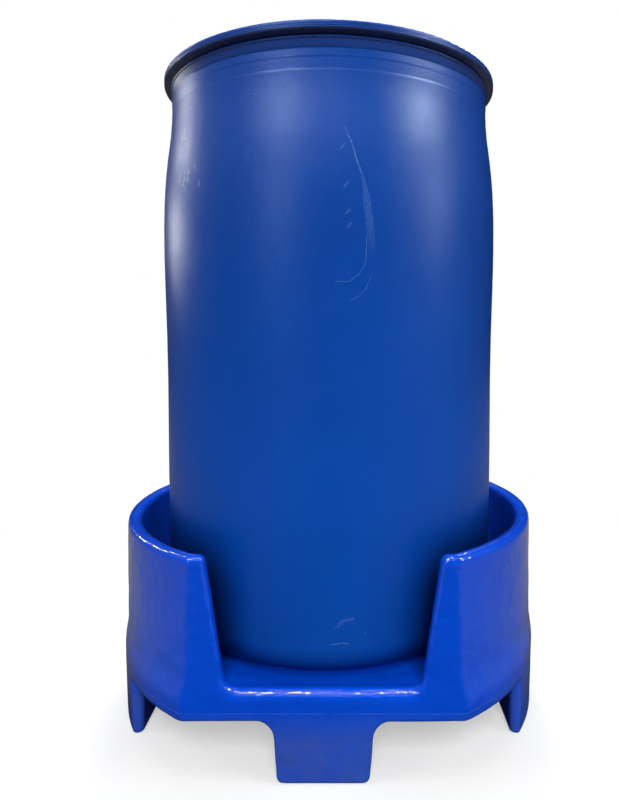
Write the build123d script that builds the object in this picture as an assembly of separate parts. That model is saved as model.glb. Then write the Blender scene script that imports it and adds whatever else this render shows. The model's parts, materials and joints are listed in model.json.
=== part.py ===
from build123d import *
import math
import os

# Drum waterer: a 220 litre plastic drum standing in a moulded trough on legs.
# Millimetres. Origin on the ground under the drum's axis, +Z up, front at -Y.

# ---------------------------------------------------------------- driving sizes
DRUM_HEIGHT = 931.0
SEAT_Z = 139.0                  # height of the ring that the drum stands on
DRUM_WALL = 3.3
RING_R = 292.5                  # lifting ring round the drum's top
NECK_HIGH_R = 280.5             # groove under the lifting ring, at its top
NECK_LOW_R = 276.0              # and at its bottom, where a gripper hooks in
SHOULDER_R = 280.0
BULGE_R = 295.0                 # widest part of the drum's body
WAIST_R = 291.5
LOWER_R = 290.5
FOOT_R = 288.0
BAND_STEP = 0.35                # the two bands under the neck are this shallow
CHIME = 46.0                    # rounding at the drum's foot
DISH_DEPTH = 16.0               # the drum's bottom is pushed up by this much
RIM_TOP_Z = 325.0               # top of the trough's wall
UNDERSIDE_Z = 90.0              # bottom of the trough's body, and so the leg height
TROUGH_R = 358.5                # outside of the trough's wall at the rim
SKIRT_R = 364.5                 # outside of the trough's wall near its bottom edge
FACET_Y = 302.5                 # the flat front and back faces
RIM_WIDTH = 23.0                # the double wall, skin to skin
SKIN = 6.0                      # thickness of the moulded skin
FLOOR_Z = 126.0                 # trough floor
LIP_Z = 133.0                   # crest of the drinking lip at the front and back
LIP_CREST_Y = 291.0             # distance of the lip's crest from the drum's axis
WELL_R = 150.0                  # float well under the drum
WELL_FLOOR_Z = 68.0
FLOAT_SWING = 12.0              # degrees that the float's arm swings
RUN = 0.05                      # radial clearance of a running fit
THREAD_GAP = 0.10               # radial clearance between plain-cylinder threads

DRUM_TOP_Z = SEAT_Z + DRUM_HEIGHT
HEAD_Z = DRUM_TOP_Z - 26.0      # the drum's top head lies below the lifting ring
HEAD_CROWN = 3.0                # the head is this much higher at its middle
POCKET_R = 51.7                 # the two round pockets that hold the closures
POCKET_ROUND = 2.5
COLLAR_WALL = 6.0               # thickness of the threaded collar in each pocket
POCKET_Z = DRUM_TOP_Z - 44.0    # floor of the two closure pockets
CLOSURE_X = 195.0               # distance of each closure from the drum's axis
COLLAR_TOP_Z = DRUM_TOP_Z - 22.0
GASKET = 3.0

os.makedirs("parts", exist_ok=True)


# ---------------------------------------------------------------- small helpers
def cylinder(radius, bottom, top, x=0.0, y=0.0):
    """An upright cylinder between two heights."""
    return Pos(x, y, (bottom + top) / 2) * Cylinder(radius, top - bottom)


def ring(outer, inner, bottom, top, x=0.0, y=0.0):
    """An upright tube between two heights."""
    return cylinder(outer, bottom, top, x, y) - cylinder(inner, bottom - 1, top + 1, x, y)


def block(x0, x1, y0, y1, z0, z1):
    """A box given by its limits."""
    return Pos((x0 + x1) / 2, (y0 + y1) / 2, (z0 + z1) / 2) * Box(x1 - x0, y1 - y0, z1 - z0)


def hexagon(flats, bottom, top, x=0.0, y=0.0):
    """A hexagonal bar between two heights."""
    face = Pos(x, y, bottom) * RegularPolygon(flats / 2, 6, major_radius=False)
    return extrude(face, amount=top - bottom)


def turned(edges):
    """A solid of revolution about Z from a closed outline in the XZ plane."""
    return revolve(make_face(Wire(edges)), Axis.Z)


def outline(points):
    """Straight edges through (radius, height) points."""
    spots = [(r, 0, z) for r, z in points]
    return [Line(a, b) for a, b in zip(spots, spots[1:])]


def along(edge):
    """Five points spread along an edge."""
    return [edge @ t for t in (0, 0.25, 0.5, 0.75, 1)]


def reach(point):
    """A point's distance from the drum's axis."""
    return math.hypot(point.X, point.Y)


# ---------------------------------------------------------------- drum
DISH_R = 200.0                  # flat middle of the drum's raised bottom
DISH_EDGE_R = 226.0             # where the raised bottom comes down to the foot
SHOULDER_Z = DRUM_TOP_Z - 64    # where the drum's side meets the upper bands
BAND_Z = DRUM_TOP_Z - 45        # line between the two bands
NECK_LOW_Z = DRUM_TOP_Z - 32
NECK_HIGH_Z = DRUM_TOP_Z - 20.5
FLANGE_LOW_Z = DRUM_TOP_Z - 15
HEAD_R = 261.0                  # the flat part of the drum's top head
UPPER_R = 287.5
SIDE_STATIONS = (               # radius of the drum's side and distance below its top
    (LOWER_R, 690),
    (WAIST_R, 450),
    (BULGE_R, 272),
    (UPPER_R, 137),
)
FLANGE_ROUND = 3.0              # rounding at the ring's upper outer edge
GROOVE_DROPS = (8.1, 5.5)       # two fine grooves round the ring, below its top
GROOVE_HALF = 0.5
GROOVE_DEPTH = 0.6


def side_curve(inset=0.0):
    """The drum's side from the foot's rounding up to the shoulder."""
    points = [(FOOT_R - inset, 0, SEAT_Z + CHIME)]
    points = points + [(r - inset, 0, DRUM_TOP_Z - drop) for r, drop in SIDE_STATIONS]
    points = points + [(SHOULDER_R - inset, 0, SHOULDER_Z)]
    return Spline(points, tangents=((0, 0, 1), (0, 0, 1)))


def chime_curve(inset=0.0):
    """The rounding from the drum's foot to its side."""
    radius = CHIME - inset
    centre = FOOT_R - CHIME
    middle = radius * math.sqrt(0.5)
    return ThreePointArc(
        (centre, 0, SEAT_Z + inset),
        (centre + middle, 0, SEAT_Z + CHIME - middle),
        (FOOT_R - inset, 0, SEAT_Z + CHIME),
    )


def drum_outside():
    """The drum's outer form with its lifting ring, closed along the axis."""
    top = DRUM_TOP_Z
    bottom = outline([
        (0, SEAT_Z + DISH_DEPTH),
        (DISH_R, SEAT_Z + DISH_DEPTH),
        (DISH_EDGE_R, SEAT_Z),
        (FOOT_R - CHIME, SEAT_Z),
    ])
    neck = outline([
        (SHOULDER_R, SHOULDER_Z),
        (SHOULDER_R - BAND_STEP, SHOULDER_Z + 3),
        (SHOULDER_R - BAND_STEP, BAND_Z - 1.5),
        (SHOULDER_R, BAND_Z + 1.5),
        (SHOULDER_R, NECK_LOW_Z - 2.5),
        (SHOULDER_R - 0.8, NECK_LOW_Z - 1),
        (NECK_LOW_R, NECK_LOW_Z),
        (NECK_HIGH_R, NECK_HIGH_Z),
    ])
    bead = ThreePointArc(
        (NECK_HIGH_R, 0, NECK_HIGH_Z),
        (NECK_HIGH_R + 1.8, 0, (NECK_HIGH_Z + FLANGE_LOW_Z) / 2),
        (NECK_HIGH_R, 0, FLANGE_LOW_Z),
    )
    flange_points = [(NECK_HIGH_R, FLANGE_LOW_Z), (RING_R - 2, top - 12), (RING_R, top - 10)]
    for drop in GROOVE_DROPS:
        flange_points.append((RING_R, top - drop - GROOVE_HALF))
        flange_points.append((RING_R - GROOVE_DEPTH, top - drop))
        flange_points.append((RING_R, top - drop + GROOVE_HALF))
    flange = outline(flange_points + [(RING_R, top - FLANGE_ROUND)])
    short = FLANGE_ROUND * (1 - math.sqrt(0.5))
    outer_round = ThreePointArc(
        (RING_R, 0, top - FLANGE_ROUND),
        (RING_R - short, 0, top - short),
        (RING_R - FLANGE_ROUND, 0, top),
    )
    inner_face = outline([
        (RING_R - FLANGE_ROUND, top),
        (HEAD_R + 10, top),
        (HEAD_R + 7.5, top - 2.5),
        (HEAD_R + 5, HEAD_Z + 5),
        (HEAD_R, HEAD_Z),
        (0, HEAD_Z + HEAD_CROWN),
        (0, SEAT_Z + DISH_DEPTH),
    ])
    edges = bottom + [chime_curve(), side_curve()] + neck + [bead] + flange
    return turned(edges + [outer_round] + inner_face)


def drum_inside():
    """The space inside the drum's wall."""
    wall = DRUM_WALL
    bottom = outline([
        (0, SEAT_Z + DISH_DEPTH + wall),
        (DISH_R + 1, SEAT_Z + DISH_DEPTH + wall),
        (DISH_EDGE_R + 1, SEAT_Z + wall),
        (FOOT_R - CHIME, SEAT_Z + wall),
    ])
    head = outline([
        (SHOULDER_R - wall, SHOULDER_Z),
        (SHOULDER_R - wall - 1, BAND_Z),
        (NECK_LOW_R - wall - 1, NECK_LOW_Z - 3),
        (HEAD_R - 2, HEAD_Z - wall),
        (0, HEAD_Z + HEAD_CROWN - wall),
        (0, SEAT_Z + DISH_DEPTH + wall),
    ])
    return turned(bottom + [chime_curve(wall), side_curve(wall)] + head)


def closure_pocket(x, bore):
    """What the head gains and loses at one closure: (added, removed) solids."""
    wall = DRUM_WALL
    cup = cylinder(POCKET_R + wall, POCKET_Z - wall, HEAD_Z, x)
    collar = cylinder(bore + COLLAR_WALL, POCKET_Z, COLLAR_TOP_Z, x)
    hollow = cylinder(POCKET_R, POCKET_Z, DRUM_TOP_Z, x)
    hole = cylinder(bore, POCKET_Z - wall - 5, DRUM_TOP_Z, x)
    return cup, collar, hollow, hole


BIG_BORE = 28.0                 # coarse-thread filling closure
SMALL_BORE = 29.8               # fine-thread pipe closure
OUTLET_BORE = 17.0              # hole in the drum's bottom for the outlet fitting


def pocket_edges(shell, x):
    """The edges round a pocket's mouth and round its floor."""
    found = []
    for edge in shell.edges():
        points = along(edge)
        reaches = [math.hypot(p.X - x, p.Y) for p in points]
        on_wall = all(abs(r - POCKET_R) < 0.05 for r in reaches)
        if on_wall and edge.bounding_box().size.X > POCKET_R:
            found.append(edge)
    return found


def make_drum_shell():
    """Blow-moulded drum: hollow body, lifting ring, two closure collars, outlet hole."""
    shell = drum_outside() - drum_inside()
    for x, bore in ((CLOSURE_X, BIG_BORE), (-CLOSURE_X, SMALL_BORE)):
        cup, collar, hollow, hole = closure_pocket(x, bore)
        shell = shell + cup - hollow
        shell = fillet(pocket_edges(shell, x), POCKET_ROUND)
        shell = shell + collar - hole
    shell = shell - cylinder(OUTLET_BORE, SEAT_Z, SEAT_Z + 40)
    return shell


# ---------------------------------------------------------------- closures
BUNG_FLANGE = 8.0               # how far a closure's flange stands out past its bore
SHANK_LENGTH = 24.0
CUP_DEPTH = 18.0                # the wrench recess in a closure
CUP_WALL = 6.0
LUG_HEIGHT = 12.0


def make_bung(x, bore, flange_top, centre_bore=None):
    """Screw closure with a wrench recess: flange, shank and crossed lugs in its cup."""
    under = COLLAR_TOP_Z + GASKET
    cup_floor = under - CUP_DEPTH
    flange = cylinder(bore + BUNG_FLANGE, under, flange_top, x)
    flange = chamfer(flange.edges().group_by(Axis.Z)[-1], 1.5)
    shank = cylinder(bore - THREAD_GAP, under - SHANK_LENGTH, under, x)
    cup = cylinder(bore - CUP_WALL, cup_floor, flange_top + 1, x)
    bung = flange + shank - cup
    for turn in (0, 90):
        lug = Rot(0, 0, turn) * Box(2 * (bore - CUP_WALL) + 1, 5, LUG_HEIGHT)
        bung = bung + Pos(x, 0, cup_floor + LUG_HEIGHT / 2) * lug
    if centre_bore:
        boss = cylinder(centre_bore + 5, cup_floor, flange_top - 1, x)
        bung = bung + boss - cylinder(centre_bore, cup_floor - 12, flange_top + 1, x)
    return bung


def make_bung_gasket(x, bore):
    """Flat ring between a closure's flange and the drum's collar."""
    return ring(bore + 5.5, bore + 0.4, COLLAR_TOP_Z, COLLAR_TOP_Z + GASKET, x)


BUNG_TOP_Z = COLLAR_TOP_Z + GASKET + 8
VENT_BORE = 13.2                # three-quarter inch centre hole of the small closure
VENT_SEAT_Z = BUNG_TOP_Z - 1
VENT_GASKET = 2.0
VENT_HEAD = 7.0


def make_vent_plug():
    """Vented centre plug: hexagon head with cross drillings that let air in."""
    x = -CLOSURE_X
    under = VENT_SEAT_Z + VENT_GASKET
    head = hexagon(27, under, under + VENT_HEAD, x)
    shank = cylinder(VENT_BORE - THREAD_GAP, under - 16, under, x)
    plug = head + shank
    plug = plug - cylinder(5, under - 17, under + 3.5, x)
    for turn in (0, 90):
        drilling = Rot(0, 0, turn) * Rot(0, 90, 0) * Cylinder(1.2, 40)
        plug = plug - Pos(x, 0, under + 2.2) * drilling
    return plug


def make_vent_gasket():
    """Sealing ring under the vent plug's head."""
    low = VENT_SEAT_Z
    return ring(VENT_BORE + 3.5, VENT_BORE + 0.3, low, low + VENT_GASKET, -CLOSURE_X)


# ---------------------------------------------------------------- trough and stand
OPENING_LOW_HALF = 139.0
OPENING_HIGH_HALF = 168.0
LIP_FRONT_SLOPE = 0.56          # the lip falls from its crest towards the face
LIP_BACK_SLOPE = 0.20           # and towards the drum
LOWER_ROUND = 2.0               # rounding along the underside and the legs' feet
LEG_LOW_HALF = 66.0             # front and back legs
LEG_HIGH_HALF = 72.0
LEG_DEPTH = 58.0
SIDE_LEG_X = 292.0              # flat inner face of each side leg
SIDE_LEG_Y = 192.0
EDGE_ROUND = 10.0               # rounding along the rim and the openings
SEAT_OUTER = 241.0
SEAT_INNER = 185.0
CHANNEL_WIDTH = 50.0
DRAIN_BORE = 13.2
DRAIN_BOSS_Z = 54.0
CREASE_ROUND = 16.0             # where the flat faces meet the round wall
CORNER_ROUND = 25.0             # upright corners inside the trough
FLOOR_ROUND = 8.0
SKIRT_Z = 112.0                 # height of the widest part of the wall
SKIRT_TOP_Z = 165.0             # above this the wall is nearly upright
LEG_FLARE = 27.0                # rounding where a leg meets the underside
LEG_FOOT_ROUND = 11.0
OPENING_FOOT_ROUND = 22.0
OPENING_MOUTH_ROUND = 12.0
MOULD_VENT_R = 5.0
MOULD_VENT_XY = 142.0


def opening_face(y, bottom, grow):
    """Outline of a drinking opening in an upright plane at y."""
    low = OPENING_LOW_HALF + grow
    high = OPENING_HIGH_HALF + grow
    top = RIM_TOP_Z
    sides = Polyline(
        (-low, y, bottom),
        (low, y, bottom),
        (high, y, top),
        (high + 60, y, top),
        (high + 60, y, top + 60),
        (-high - 60, y, top + 60),
        (-high - 60, y, top),
        (-high, y, top),
        close=True,
    )
    face = make_face(sides)
    face = fillet(face.vertices().group_by(Axis.Z)[0], OPENING_FOOT_ROUND)
    mouth = [v for v in face.vertices() if abs(v.Z - top) < 1 and abs(v.X) < high + 1]
    return fillet(mouth, OPENING_MOUTH_ROUND)


def opening_tool(side, grow=0.0):
    """Cuts one drinking opening. Its bottom falls from a crest to both sides."""
    beyond = FACET_Y + 8.0
    inside = FACET_Y - 42.0
    front_z = LIP_Z - LIP_FRONT_SLOPE * (beyond - LIP_CREST_Y)
    back_z = LIP_Z - LIP_BACK_SLOPE * (LIP_CREST_Y - inside)
    outer = opening_face(side * beyond, front_z - grow, grow)
    crest = opening_face(side * LIP_CREST_Y, LIP_Z - grow, grow)
    inner = opening_face(side * inside, back_z - grow, grow)
    return loft([outer, crest], ruled=True) + loft([crest, inner], ruled=True)


def trough_blank(inset=0.0):
    """Outer form from the ground to the rim, before the gaps between the legs."""
    low = inset
    high = RIM_TOP_Z - inset
    skirt = Spline(
        (SKIRT_R - inset, 0, SKIRT_Z),
        (SKIRT_R - 2.5 - inset, 0, 135),
        (TROUGH_R + 0.8 - inset, 0, SKIRT_TOP_Z),
        tangents=((0, 0, 1), (0, 0, 1)),
    )
    edges = outline([(0, low), (SKIRT_R - 2.5 - inset, low), (SKIRT_R - inset, SKIRT_Z)])
    edges = edges + [skirt]
    edges = edges + outline([
        (TROUGH_R + 0.8 - inset, SKIRT_TOP_Z),
        (TROUGH_R - inset, high),
        (0, high),
        (0, low),
    ])
    half_depth = FACET_Y - inset
    return turned(edges) & block(-400, 400, -half_depth, half_depth, -10, 400)


def end_leg(side, inset=0.0):
    """Front or back leg, flared where it meets the trough's underside."""
    low = LEG_LOW_HALF - inset
    high = LEG_HIGH_HALF - inset
    z = UNDERSIDE_Z + inset
    sides = Polyline(
        (-low, 0, inset),
        (low, 0, inset),
        (high, 0, z),
        (high + 80, 0, z),
        (high + 80, 0, z + 40),
        (-high - 80, 0, z + 40),
        (-high - 80, 0, z),
        (-high, 0, z),
        close=True,
    )
    face = make_face(sides)
    face = fillet(face.vertices().group_by(Axis.Z)[0], LEG_FOOT_ROUND)
    flare = [v for v in face.vertices() if abs(v.Z - z) < 1 and abs(v.X) < high + 1]
    face = fillet(flare, LEG_FLARE)
    face = Pos(0, side * (FACET_Y + 5), 0) * face
    return extrude(face, amount=LEG_DEPTH + 5 - inset, dir=(0, -side, 0))


def side_leg(side, inset=0.0):
    """Left or right leg: a wide block whose outside follows the trough's wall."""
    near = SIDE_LEG_X + inset
    half = SIDE_LEG_Y - inset
    leg = block(near, 420, -half, half, inset, UNDERSIDE_Z + 40)
    leg = fillet(leg.edges().filter_by(Axis.Z), 9)
    return leg if side > 0 else mirror(leg, Plane.YZ)


def gaps_between_legs(inset=0.0):
    """Everything under the trough's body that isn't a leg."""
    gaps = block(-420, 420, -420, 420, -5, UNDERSIDE_Z + inset)
    for side in (-1, 1):
        gaps = gaps - end_leg(side, inset) - side_leg(side, inset)
    return gaps


def trough_cavity(grow=0.0):
    """The space inside the trough's wall, above its floor."""
    radius = TROUGH_R - RIM_WIDTH + grow
    half_depth = FACET_Y - RIM_WIDTH + grow
    cavity = cylinder(radius, FLOOR_Z - grow, RIM_TOP_Z + 40)
    return cavity & block(-400, 400, -half_depth, half_depth, 0, 500)


def on_plane_y(points, y):
    """True if all points lie on one of the two upright planes at distance y."""
    return all(abs(abs(p.Y) - y) < 0.01 for p in points)


def on_rim(points):
    """True if all points lie on the trough's top."""
    return all(abs(p.Z - RIM_TOP_Z) < 0.01 for p in points)


def outer_mouth_edges(body):
    """Outer edges of the rim and of the two openings."""
    found = []
    for edge in body.edges():
        points = along(edge)
        facet = on_plane_y(points, FACET_Y)
        in_opening = max(abs(p.X) for p in points) < 182 and min(p.Z for p in points) > 130
        if on_rim(points) and (facet or min(reach(p) for p in points) > 345):
            found.append(edge)
        elif facet and in_opening:
            found.append(edge)
    return found


def inner_mouth_edges(body):
    """Inner edges of the rim and of the upright sides of the two openings."""
    found = []
    for edge in body.edges():
        points = along(edge)
        inside = max(reach(p) for p in points) < TROUGH_R - RIM_WIDTH + 0.1
        wall = on_plane_y(points, FACET_Y - RIM_WIDTH)
        side = wall and min(p.Z for p in points) > 133 and edge.bounding_box().size.Z > 5
        if inside and on_rim(points):
            found.append(edge)
        elif side and max(abs(p.X) for p in points) < 182:
            found.append(edge)
    return found


def lower_edges(body):
    """Outer edges of the underside and of the legs."""
    found = []
    for edge in body.edges():
        points = along(edge)
        outer = all(abs(abs(p.Y) - FACET_Y) < 0.01 or reach(p) > 357 for p in points)
        low = max(p.Z for p in points) < UNDERSIDE_Z + 0.01
        crease = edge.bounding_box().size.Z > 30 and all(190 < abs(p.X) < 215 for p in points)
        if outer and low and not crease:
            found.append(edge)
    return found


def trough_shell():
    """Solid form of the trough with its rounded edges, before it is hollowed."""
    body = trough_blank()
    creases = [e for e in body.edges() if on_plane_y(along(e), FACET_Y) and abs(e.center().X) > 150]
    creases = [e for e in creases if e.bounding_box().size.Z > 10]
    body = fillet(creases, CREASE_ROUND) - gaps_between_legs()
    cavity = trough_cavity()
    corners = [e for e in cavity.edges() if abs(e.center().X) > 150 and e.bounding_box().size.X < 1]
    cavity = fillet([e for e in corners if e.bounding_box().size.Z > 100], CORNER_ROUND)
    cavity = fillet(cavity.edges().group_by(Axis.Z)[0], FLOOR_ROUND)
    body = body - cavity - opening_tool(-1) - opening_tool(1)
    body = fillet(outer_mouth_edges(body), EDGE_ROUND)
    body = fillet(inner_mouth_edges(body), EDGE_ROUND)
    return fillet(lower_edges(body), LOWER_ROUND)


def trough_void():
    """The air space between the two skins, in the wall, the floor and the legs."""
    void = trough_blank(SKIN) - gaps_between_legs(SKIN)
    void = void - trough_cavity(SKIN) - opening_tool(-1, SKIN) - opening_tool(1, SKIN)
    return void - cylinder(WELL_R + SKIN, 0, RIM_TOP_Z)


def make_trough_stand():
    """Double-walled moulding: trough, drum seat, float well, legs."""
    seat = ring(SEAT_OUTER, SEAT_INNER, FLOOR_Z - 2, SEAT_Z)
    seat = fillet(seat.edges().group_by(Axis.Z)[-1], 3)
    for turn in (45, 135):
        seat = seat - Rot(0, 0, turn) * block(-300, 300, -CHANNEL_WIDTH / 2, CHANNEL_WIDTH / 2, 100, 200)
    well = cylinder(WELL_R + SKIN, WELL_FLOOR_Z - SKIN, FLOOR_Z - 1)
    well = fillet(well.edges().group_by(Axis.Z)[0], 10)
    boss = cylinder(24, DRAIN_BOSS_Z, WELL_FLOOR_Z)
    basin = cylinder(WELL_R, WELL_FLOOR_Z, FLOOR_Z + 30)
    basin = fillet(basin.edges().group_by(Axis.Z)[0], FLOOR_ROUND)
    stand = trough_shell() + seat + well + boss - basin - trough_void()
    stand = stand - cylinder(DRAIN_BORE, DRAIN_BOSS_Z - 5, WELL_FLOOR_Z + 5)
    vent = cylinder(MOULD_VENT_R, UNDERSIDE_Z - 5, UNDERSIDE_Z + SKIN + 5, MOULD_VENT_XY, MOULD_VENT_XY)
    return stand - vent


def make_moulding_vent_plug():
    """Push-in cap that closes the moulding's air hole from below."""
    x = y = MOULD_VENT_XY
    head = cylinder(9, UNDERSIDE_Z - 2.5, UNDERSIDE_Z, x, y)
    head = fillet(head.edges().group_by(Axis.Z)[0], 1.5)
    return head + cylinder(MOULD_VENT_R - RUN, UNDERSIDE_Z, UNDERSIDE_Z + SKIN + 3, x, y)


def make_drain_plug():
    """Screw plug in the well's floor with a grip bar across its head."""
    under = DRAIN_BOSS_Z - GASKET
    head = cylinder(22, under - 5, under)
    head = fillet(head.edges().group_by(Axis.Z)[0], 1.5)
    grip = block(-19, 19, -3, 3, under - 14, under - 4)
    grip = fillet(grip.edges().filter_by(Axis.Z), 2.5)
    return head + grip + cylinder(DRAIN_BORE - THREAD_GAP, under, WELL_FLOOR_Z - 1)


def make_drain_gasket():
    """Sealing ring above the drain plug's head."""
    return ring(20, DRAIN_BORE + 0.3, DRAIN_BOSS_Z - GASKET, DRAIN_BOSS_Z)


# ---------------------------------------------------------------- outlet fitting
DISH_Z = SEAT_Z + DISH_DEPTH            # underside of the drum's raised bottom
FITTING_LOW_Z = 128.0
FITTING_FLANGE_Z = DISH_Z + DRUM_WALL + GASKET
SOCKET_R = 12.0


def make_outlet_fitting():
    """Through-wall fitting in the drum's bottom: flange inside, shank outside."""
    flange = cylinder(30, FITTING_FLANGE_Z, FITTING_FLANGE_Z + 7)
    flange = fillet(flange.edges().group_by(Axis.Z)[-1], 2)
    shank = cylinder(OUTLET_BORE - THREAD_GAP, FITTING_LOW_Z, FITTING_FLANGE_Z)
    passage = cylinder(9, FITTING_LOW_Z - 1, FITTING_FLANGE_Z + 8)
    socket = cylinder(SOCKET_R, FITTING_LOW_Z - 1, FITTING_LOW_Z + 17)
    return flange + shank - passage - socket


def make_outlet_gasket():
    """Rubber ring between the fitting's flange and the drum's bottom."""
    return ring(28, OUTLET_BORE + 0.2, FITTING_FLANGE_Z - GASKET, FITTING_FLANGE_Z)


def make_outlet_nut():
    """Hexagon nut that clamps the fitting from below."""
    nut = hexagon(46, DISH_Z - 11, DISH_Z)
    nut = nut & cylinder(25.6, DISH_Z - 11, DISH_Z)
    return nut - cylinder(OUTLET_BORE, DISH_Z - 12, DISH_Z + 1)


# ---------------------------------------------------------------- float valve
INLET_WASHER = 2.0
BODY_TOP_Z = FITTING_LOW_Z - INLET_WASHER
BODY_LOW_Z = 104.0
NOZZLE_Z = 117.0                # the nozzle's rim, where the washer seals
PIVOT_X = -16.0
PIVOT_Z = 98.0
LEVER_HALF = 4.0                # half of the lever's square section
STEM_R = 2.5
GUIDE_R = 7.0
FLOAT_X = 100.0
FLOAT_Z = 126.0
ROD_BEND = 6.0                  # bend radius of the rod's centre line
FLOAT_R = 35.0
FLOAT_HALF = 16.0
ROD_R = 3.0
PIN_R = 2.0


def make_inlet_washer():
    """Washer between the valve body and the outlet fitting."""
    return ring(16, SOCKET_R + 0.2, BODY_TOP_Z, FITTING_LOW_Z)


def make_valve_body():
    """Body with inlet nipple, guide bore, side windows and two pivot ears."""
    nipple = cylinder(SOCKET_R - THREAD_GAP, BODY_TOP_Z, FITTING_LOW_Z + 15)
    collar = hexagon(34, BODY_TOP_Z - 8, BODY_TOP_Z)
    barrel = cylinder(15, BODY_LOW_Z, BODY_TOP_Z)
    body = nipple + collar + barrel
    for side in (-1, 1):
        y0, y1 = sorted((side * (LEVER_HALF + 0.6), side * (LEVER_HALF + 4.6)))
        ear = block(PIVOT_X - 7, PIVOT_X + 9, y0, y1, PIVOT_Z - 6, BODY_LOW_Z + 6)
        body = body + fillet(ear.edges().filter_by(Axis.Y), 3)
    body = body - cylinder(5, NOZZLE_Z, FITTING_LOW_Z + 20)
    body = body - cylinder(6.0 + RUN, NOZZLE_Z, NOZZLE_Z + 7)
    body = body - cylinder(GUIDE_R, BODY_LOW_Z - 1, NOZZLE_Z)
    window = Pos(0, 0, NOZZLE_Z - 2.5) * Rot(90, 0, 0) * Cylinder(2.2, 60)
    pin_hole = Pos(PIVOT_X, 0, PIVOT_Z) * Rot(90, 0, 0) * Cylinder(PIN_R + 0.02, 60)
    return body - window - pin_hole


def make_valve_nozzle():
    """Replaceable nozzle pressed into the body, with the sealing rim below."""
    nozzle = cylinder(6, NOZZLE_Z + 1.5, NOZZLE_Z + 7) + cylinder(4, NOZZLE_Z, NOZZLE_Z + 2)
    return nozzle - cylinder(2.5, NOZZLE_Z - 1, NOZZLE_Z + 8)


def lever_contact(swing):
    """Height of the lever's top under the plunger's stem at a swing below level."""
    angle = math.radians(swing)
    arm = -STEM_R - PIVOT_X
    return PIVOT_Z - arm * math.tan(angle) + LEVER_HALF / math.cos(angle)


STROKE = lever_contact(0) - lever_contact(FLOAT_SWING)
SEAL_GAP = 0.02
WASHER_TOP_Z = NOZZLE_Z - STROKE - SEAL_GAP
STEM_LOW_Z = lever_contact(FLOAT_SWING) + 0.1


def make_plunger_washer():
    """Rubber disc in the plunger's cup that closes the nozzle."""
    return cylinder(4.8, WASHER_TOP_Z - 2.5, WASHER_TOP_Z)


def make_valve_plunger():
    """Fluted plunger that carries the washer, with a stem that rests on the lever."""
    low = BODY_LOW_Z - 0.5
    plunger = cylinder(GUIDE_R - RUN, low, WASHER_TOP_Z - 0.5)
    plunger = plunger - cylinder(4.85, WASHER_TOP_Z - 2.5, WASHER_TOP_Z + 1)
    for turn in (0, 90, 180, 270):
        flute = Pos(0, 0, low) * Rot(0, 0, turn + 45) * Pos(GUIDE_R + 0.6, 0, 0) * Cylinder(2, 40)
        plunger = plunger - flute
    return plunger + cylinder(STEM_R, STEM_LOW_Z, low + 1)


def lowered(shape):
    """A float-arm piece turned from its level position down to its hanging one."""
    pivot = Pos(PIVOT_X, 0, PIVOT_Z)
    return pivot * Rot(0, FLOAT_SWING, 0) * pivot.inverse() * shape


def make_float_lever():
    """Lever with an eye for the pivot pin and a socket for the float's rod."""
    half = LEVER_HALF
    bar = block(PIVOT_X, 38, -half, half, PIVOT_Z - half, PIVOT_Z + half)
    eye = Pos(PIVOT_X, 0, PIVOT_Z) * Rot(90, 0, 0) * Cylinder(5, 2 * half)
    lever = bar + eye
    lever = lever - Pos(PIVOT_X, 0, PIVOT_Z) * Rot(90, 0, 0) * Cylinder(PIN_R + RUN, 20)
    socket = Pos(30, 0, PIVOT_Z) * Rot(0, 90, 0) * Cylinder(ROD_R + RUN, 24)
    return lowered(lever - socket)


def make_float_rod():
    """Bent brass rod from the lever to the float's underside."""
    bend = ROD_BEND
    corner = FLOAT_X - bend
    middle = bend * math.sqrt(0.5)
    path = Wire([
        Line((19, 0, PIVOT_Z), (corner, 0, PIVOT_Z)),
        ThreePointArc(
            (corner, 0, PIVOT_Z),
            (corner + middle, 0, PIVOT_Z + bend - middle),
            (FLOAT_X, 0, PIVOT_Z + bend),
        ),
        Line((FLOAT_X, 0, PIVOT_Z + bend), (FLOAT_X, 0, FLOAT_Z + 4)),
    ])
    section = Plane(origin=(19, 0, PIVOT_Z), z_dir=(1, 0, 0)) * Circle(ROD_R)
    return lowered(sweep(section, path=path))


def make_rod_locknuts():
    """Two nuts: one against the lever's end and one under the float."""
    nut = hexagon(10, 0, 5) - cylinder(ROD_R + RUN, -1, 6)
    at_lever = Pos(38, 0, PIVOT_Z) * Rot(0, 90, 0) * nut
    under_float = Pos(FLOAT_X, 0, FLOAT_Z - FLOAT_HALF - 5) * nut
    return Compound([lowered(at_lever).solid(), lowered(under_float).solid()])


def make_float():
    """Hollow moulded float with a threaded boss for the rod in its underside."""
    low = FLOAT_Z - FLOAT_HALF
    high = FLOAT_Z + FLOAT_HALF
    body = cylinder(FLOAT_R, low, high, FLOAT_X)
    body = fillet(body.edges().filter_by(GeomType.CIRCLE), 8)
    air = cylinder(FLOAT_R - 2, low + 2, high - 2, FLOAT_X)
    air = fillet(air.edges().filter_by(GeomType.CIRCLE), 6) - cylinder(8, low, FLOAT_Z + 7, FLOAT_X)
    body = body - air - cylinder(ROD_R + RUN, low - 1, FLOAT_Z + 4.2, FLOAT_X)
    return lowered(body)


def make_lever_pin():
    """Headed pivot pin through the ears and the lever's eye."""
    pin = Cylinder(PIN_R, 23) + Pos(0, 0, -11.5) * Cylinder(3.5, 2)
    pin = pin - Pos(0, 0, 10.2) * (Cylinder(5, 0.8) - Cylinder(1.5, 2))
    return Pos(PIVOT_X, 0, PIVOT_Z) * Rot(90, 0, 0) * Pos(0, 0, 0.6) * pin


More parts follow.
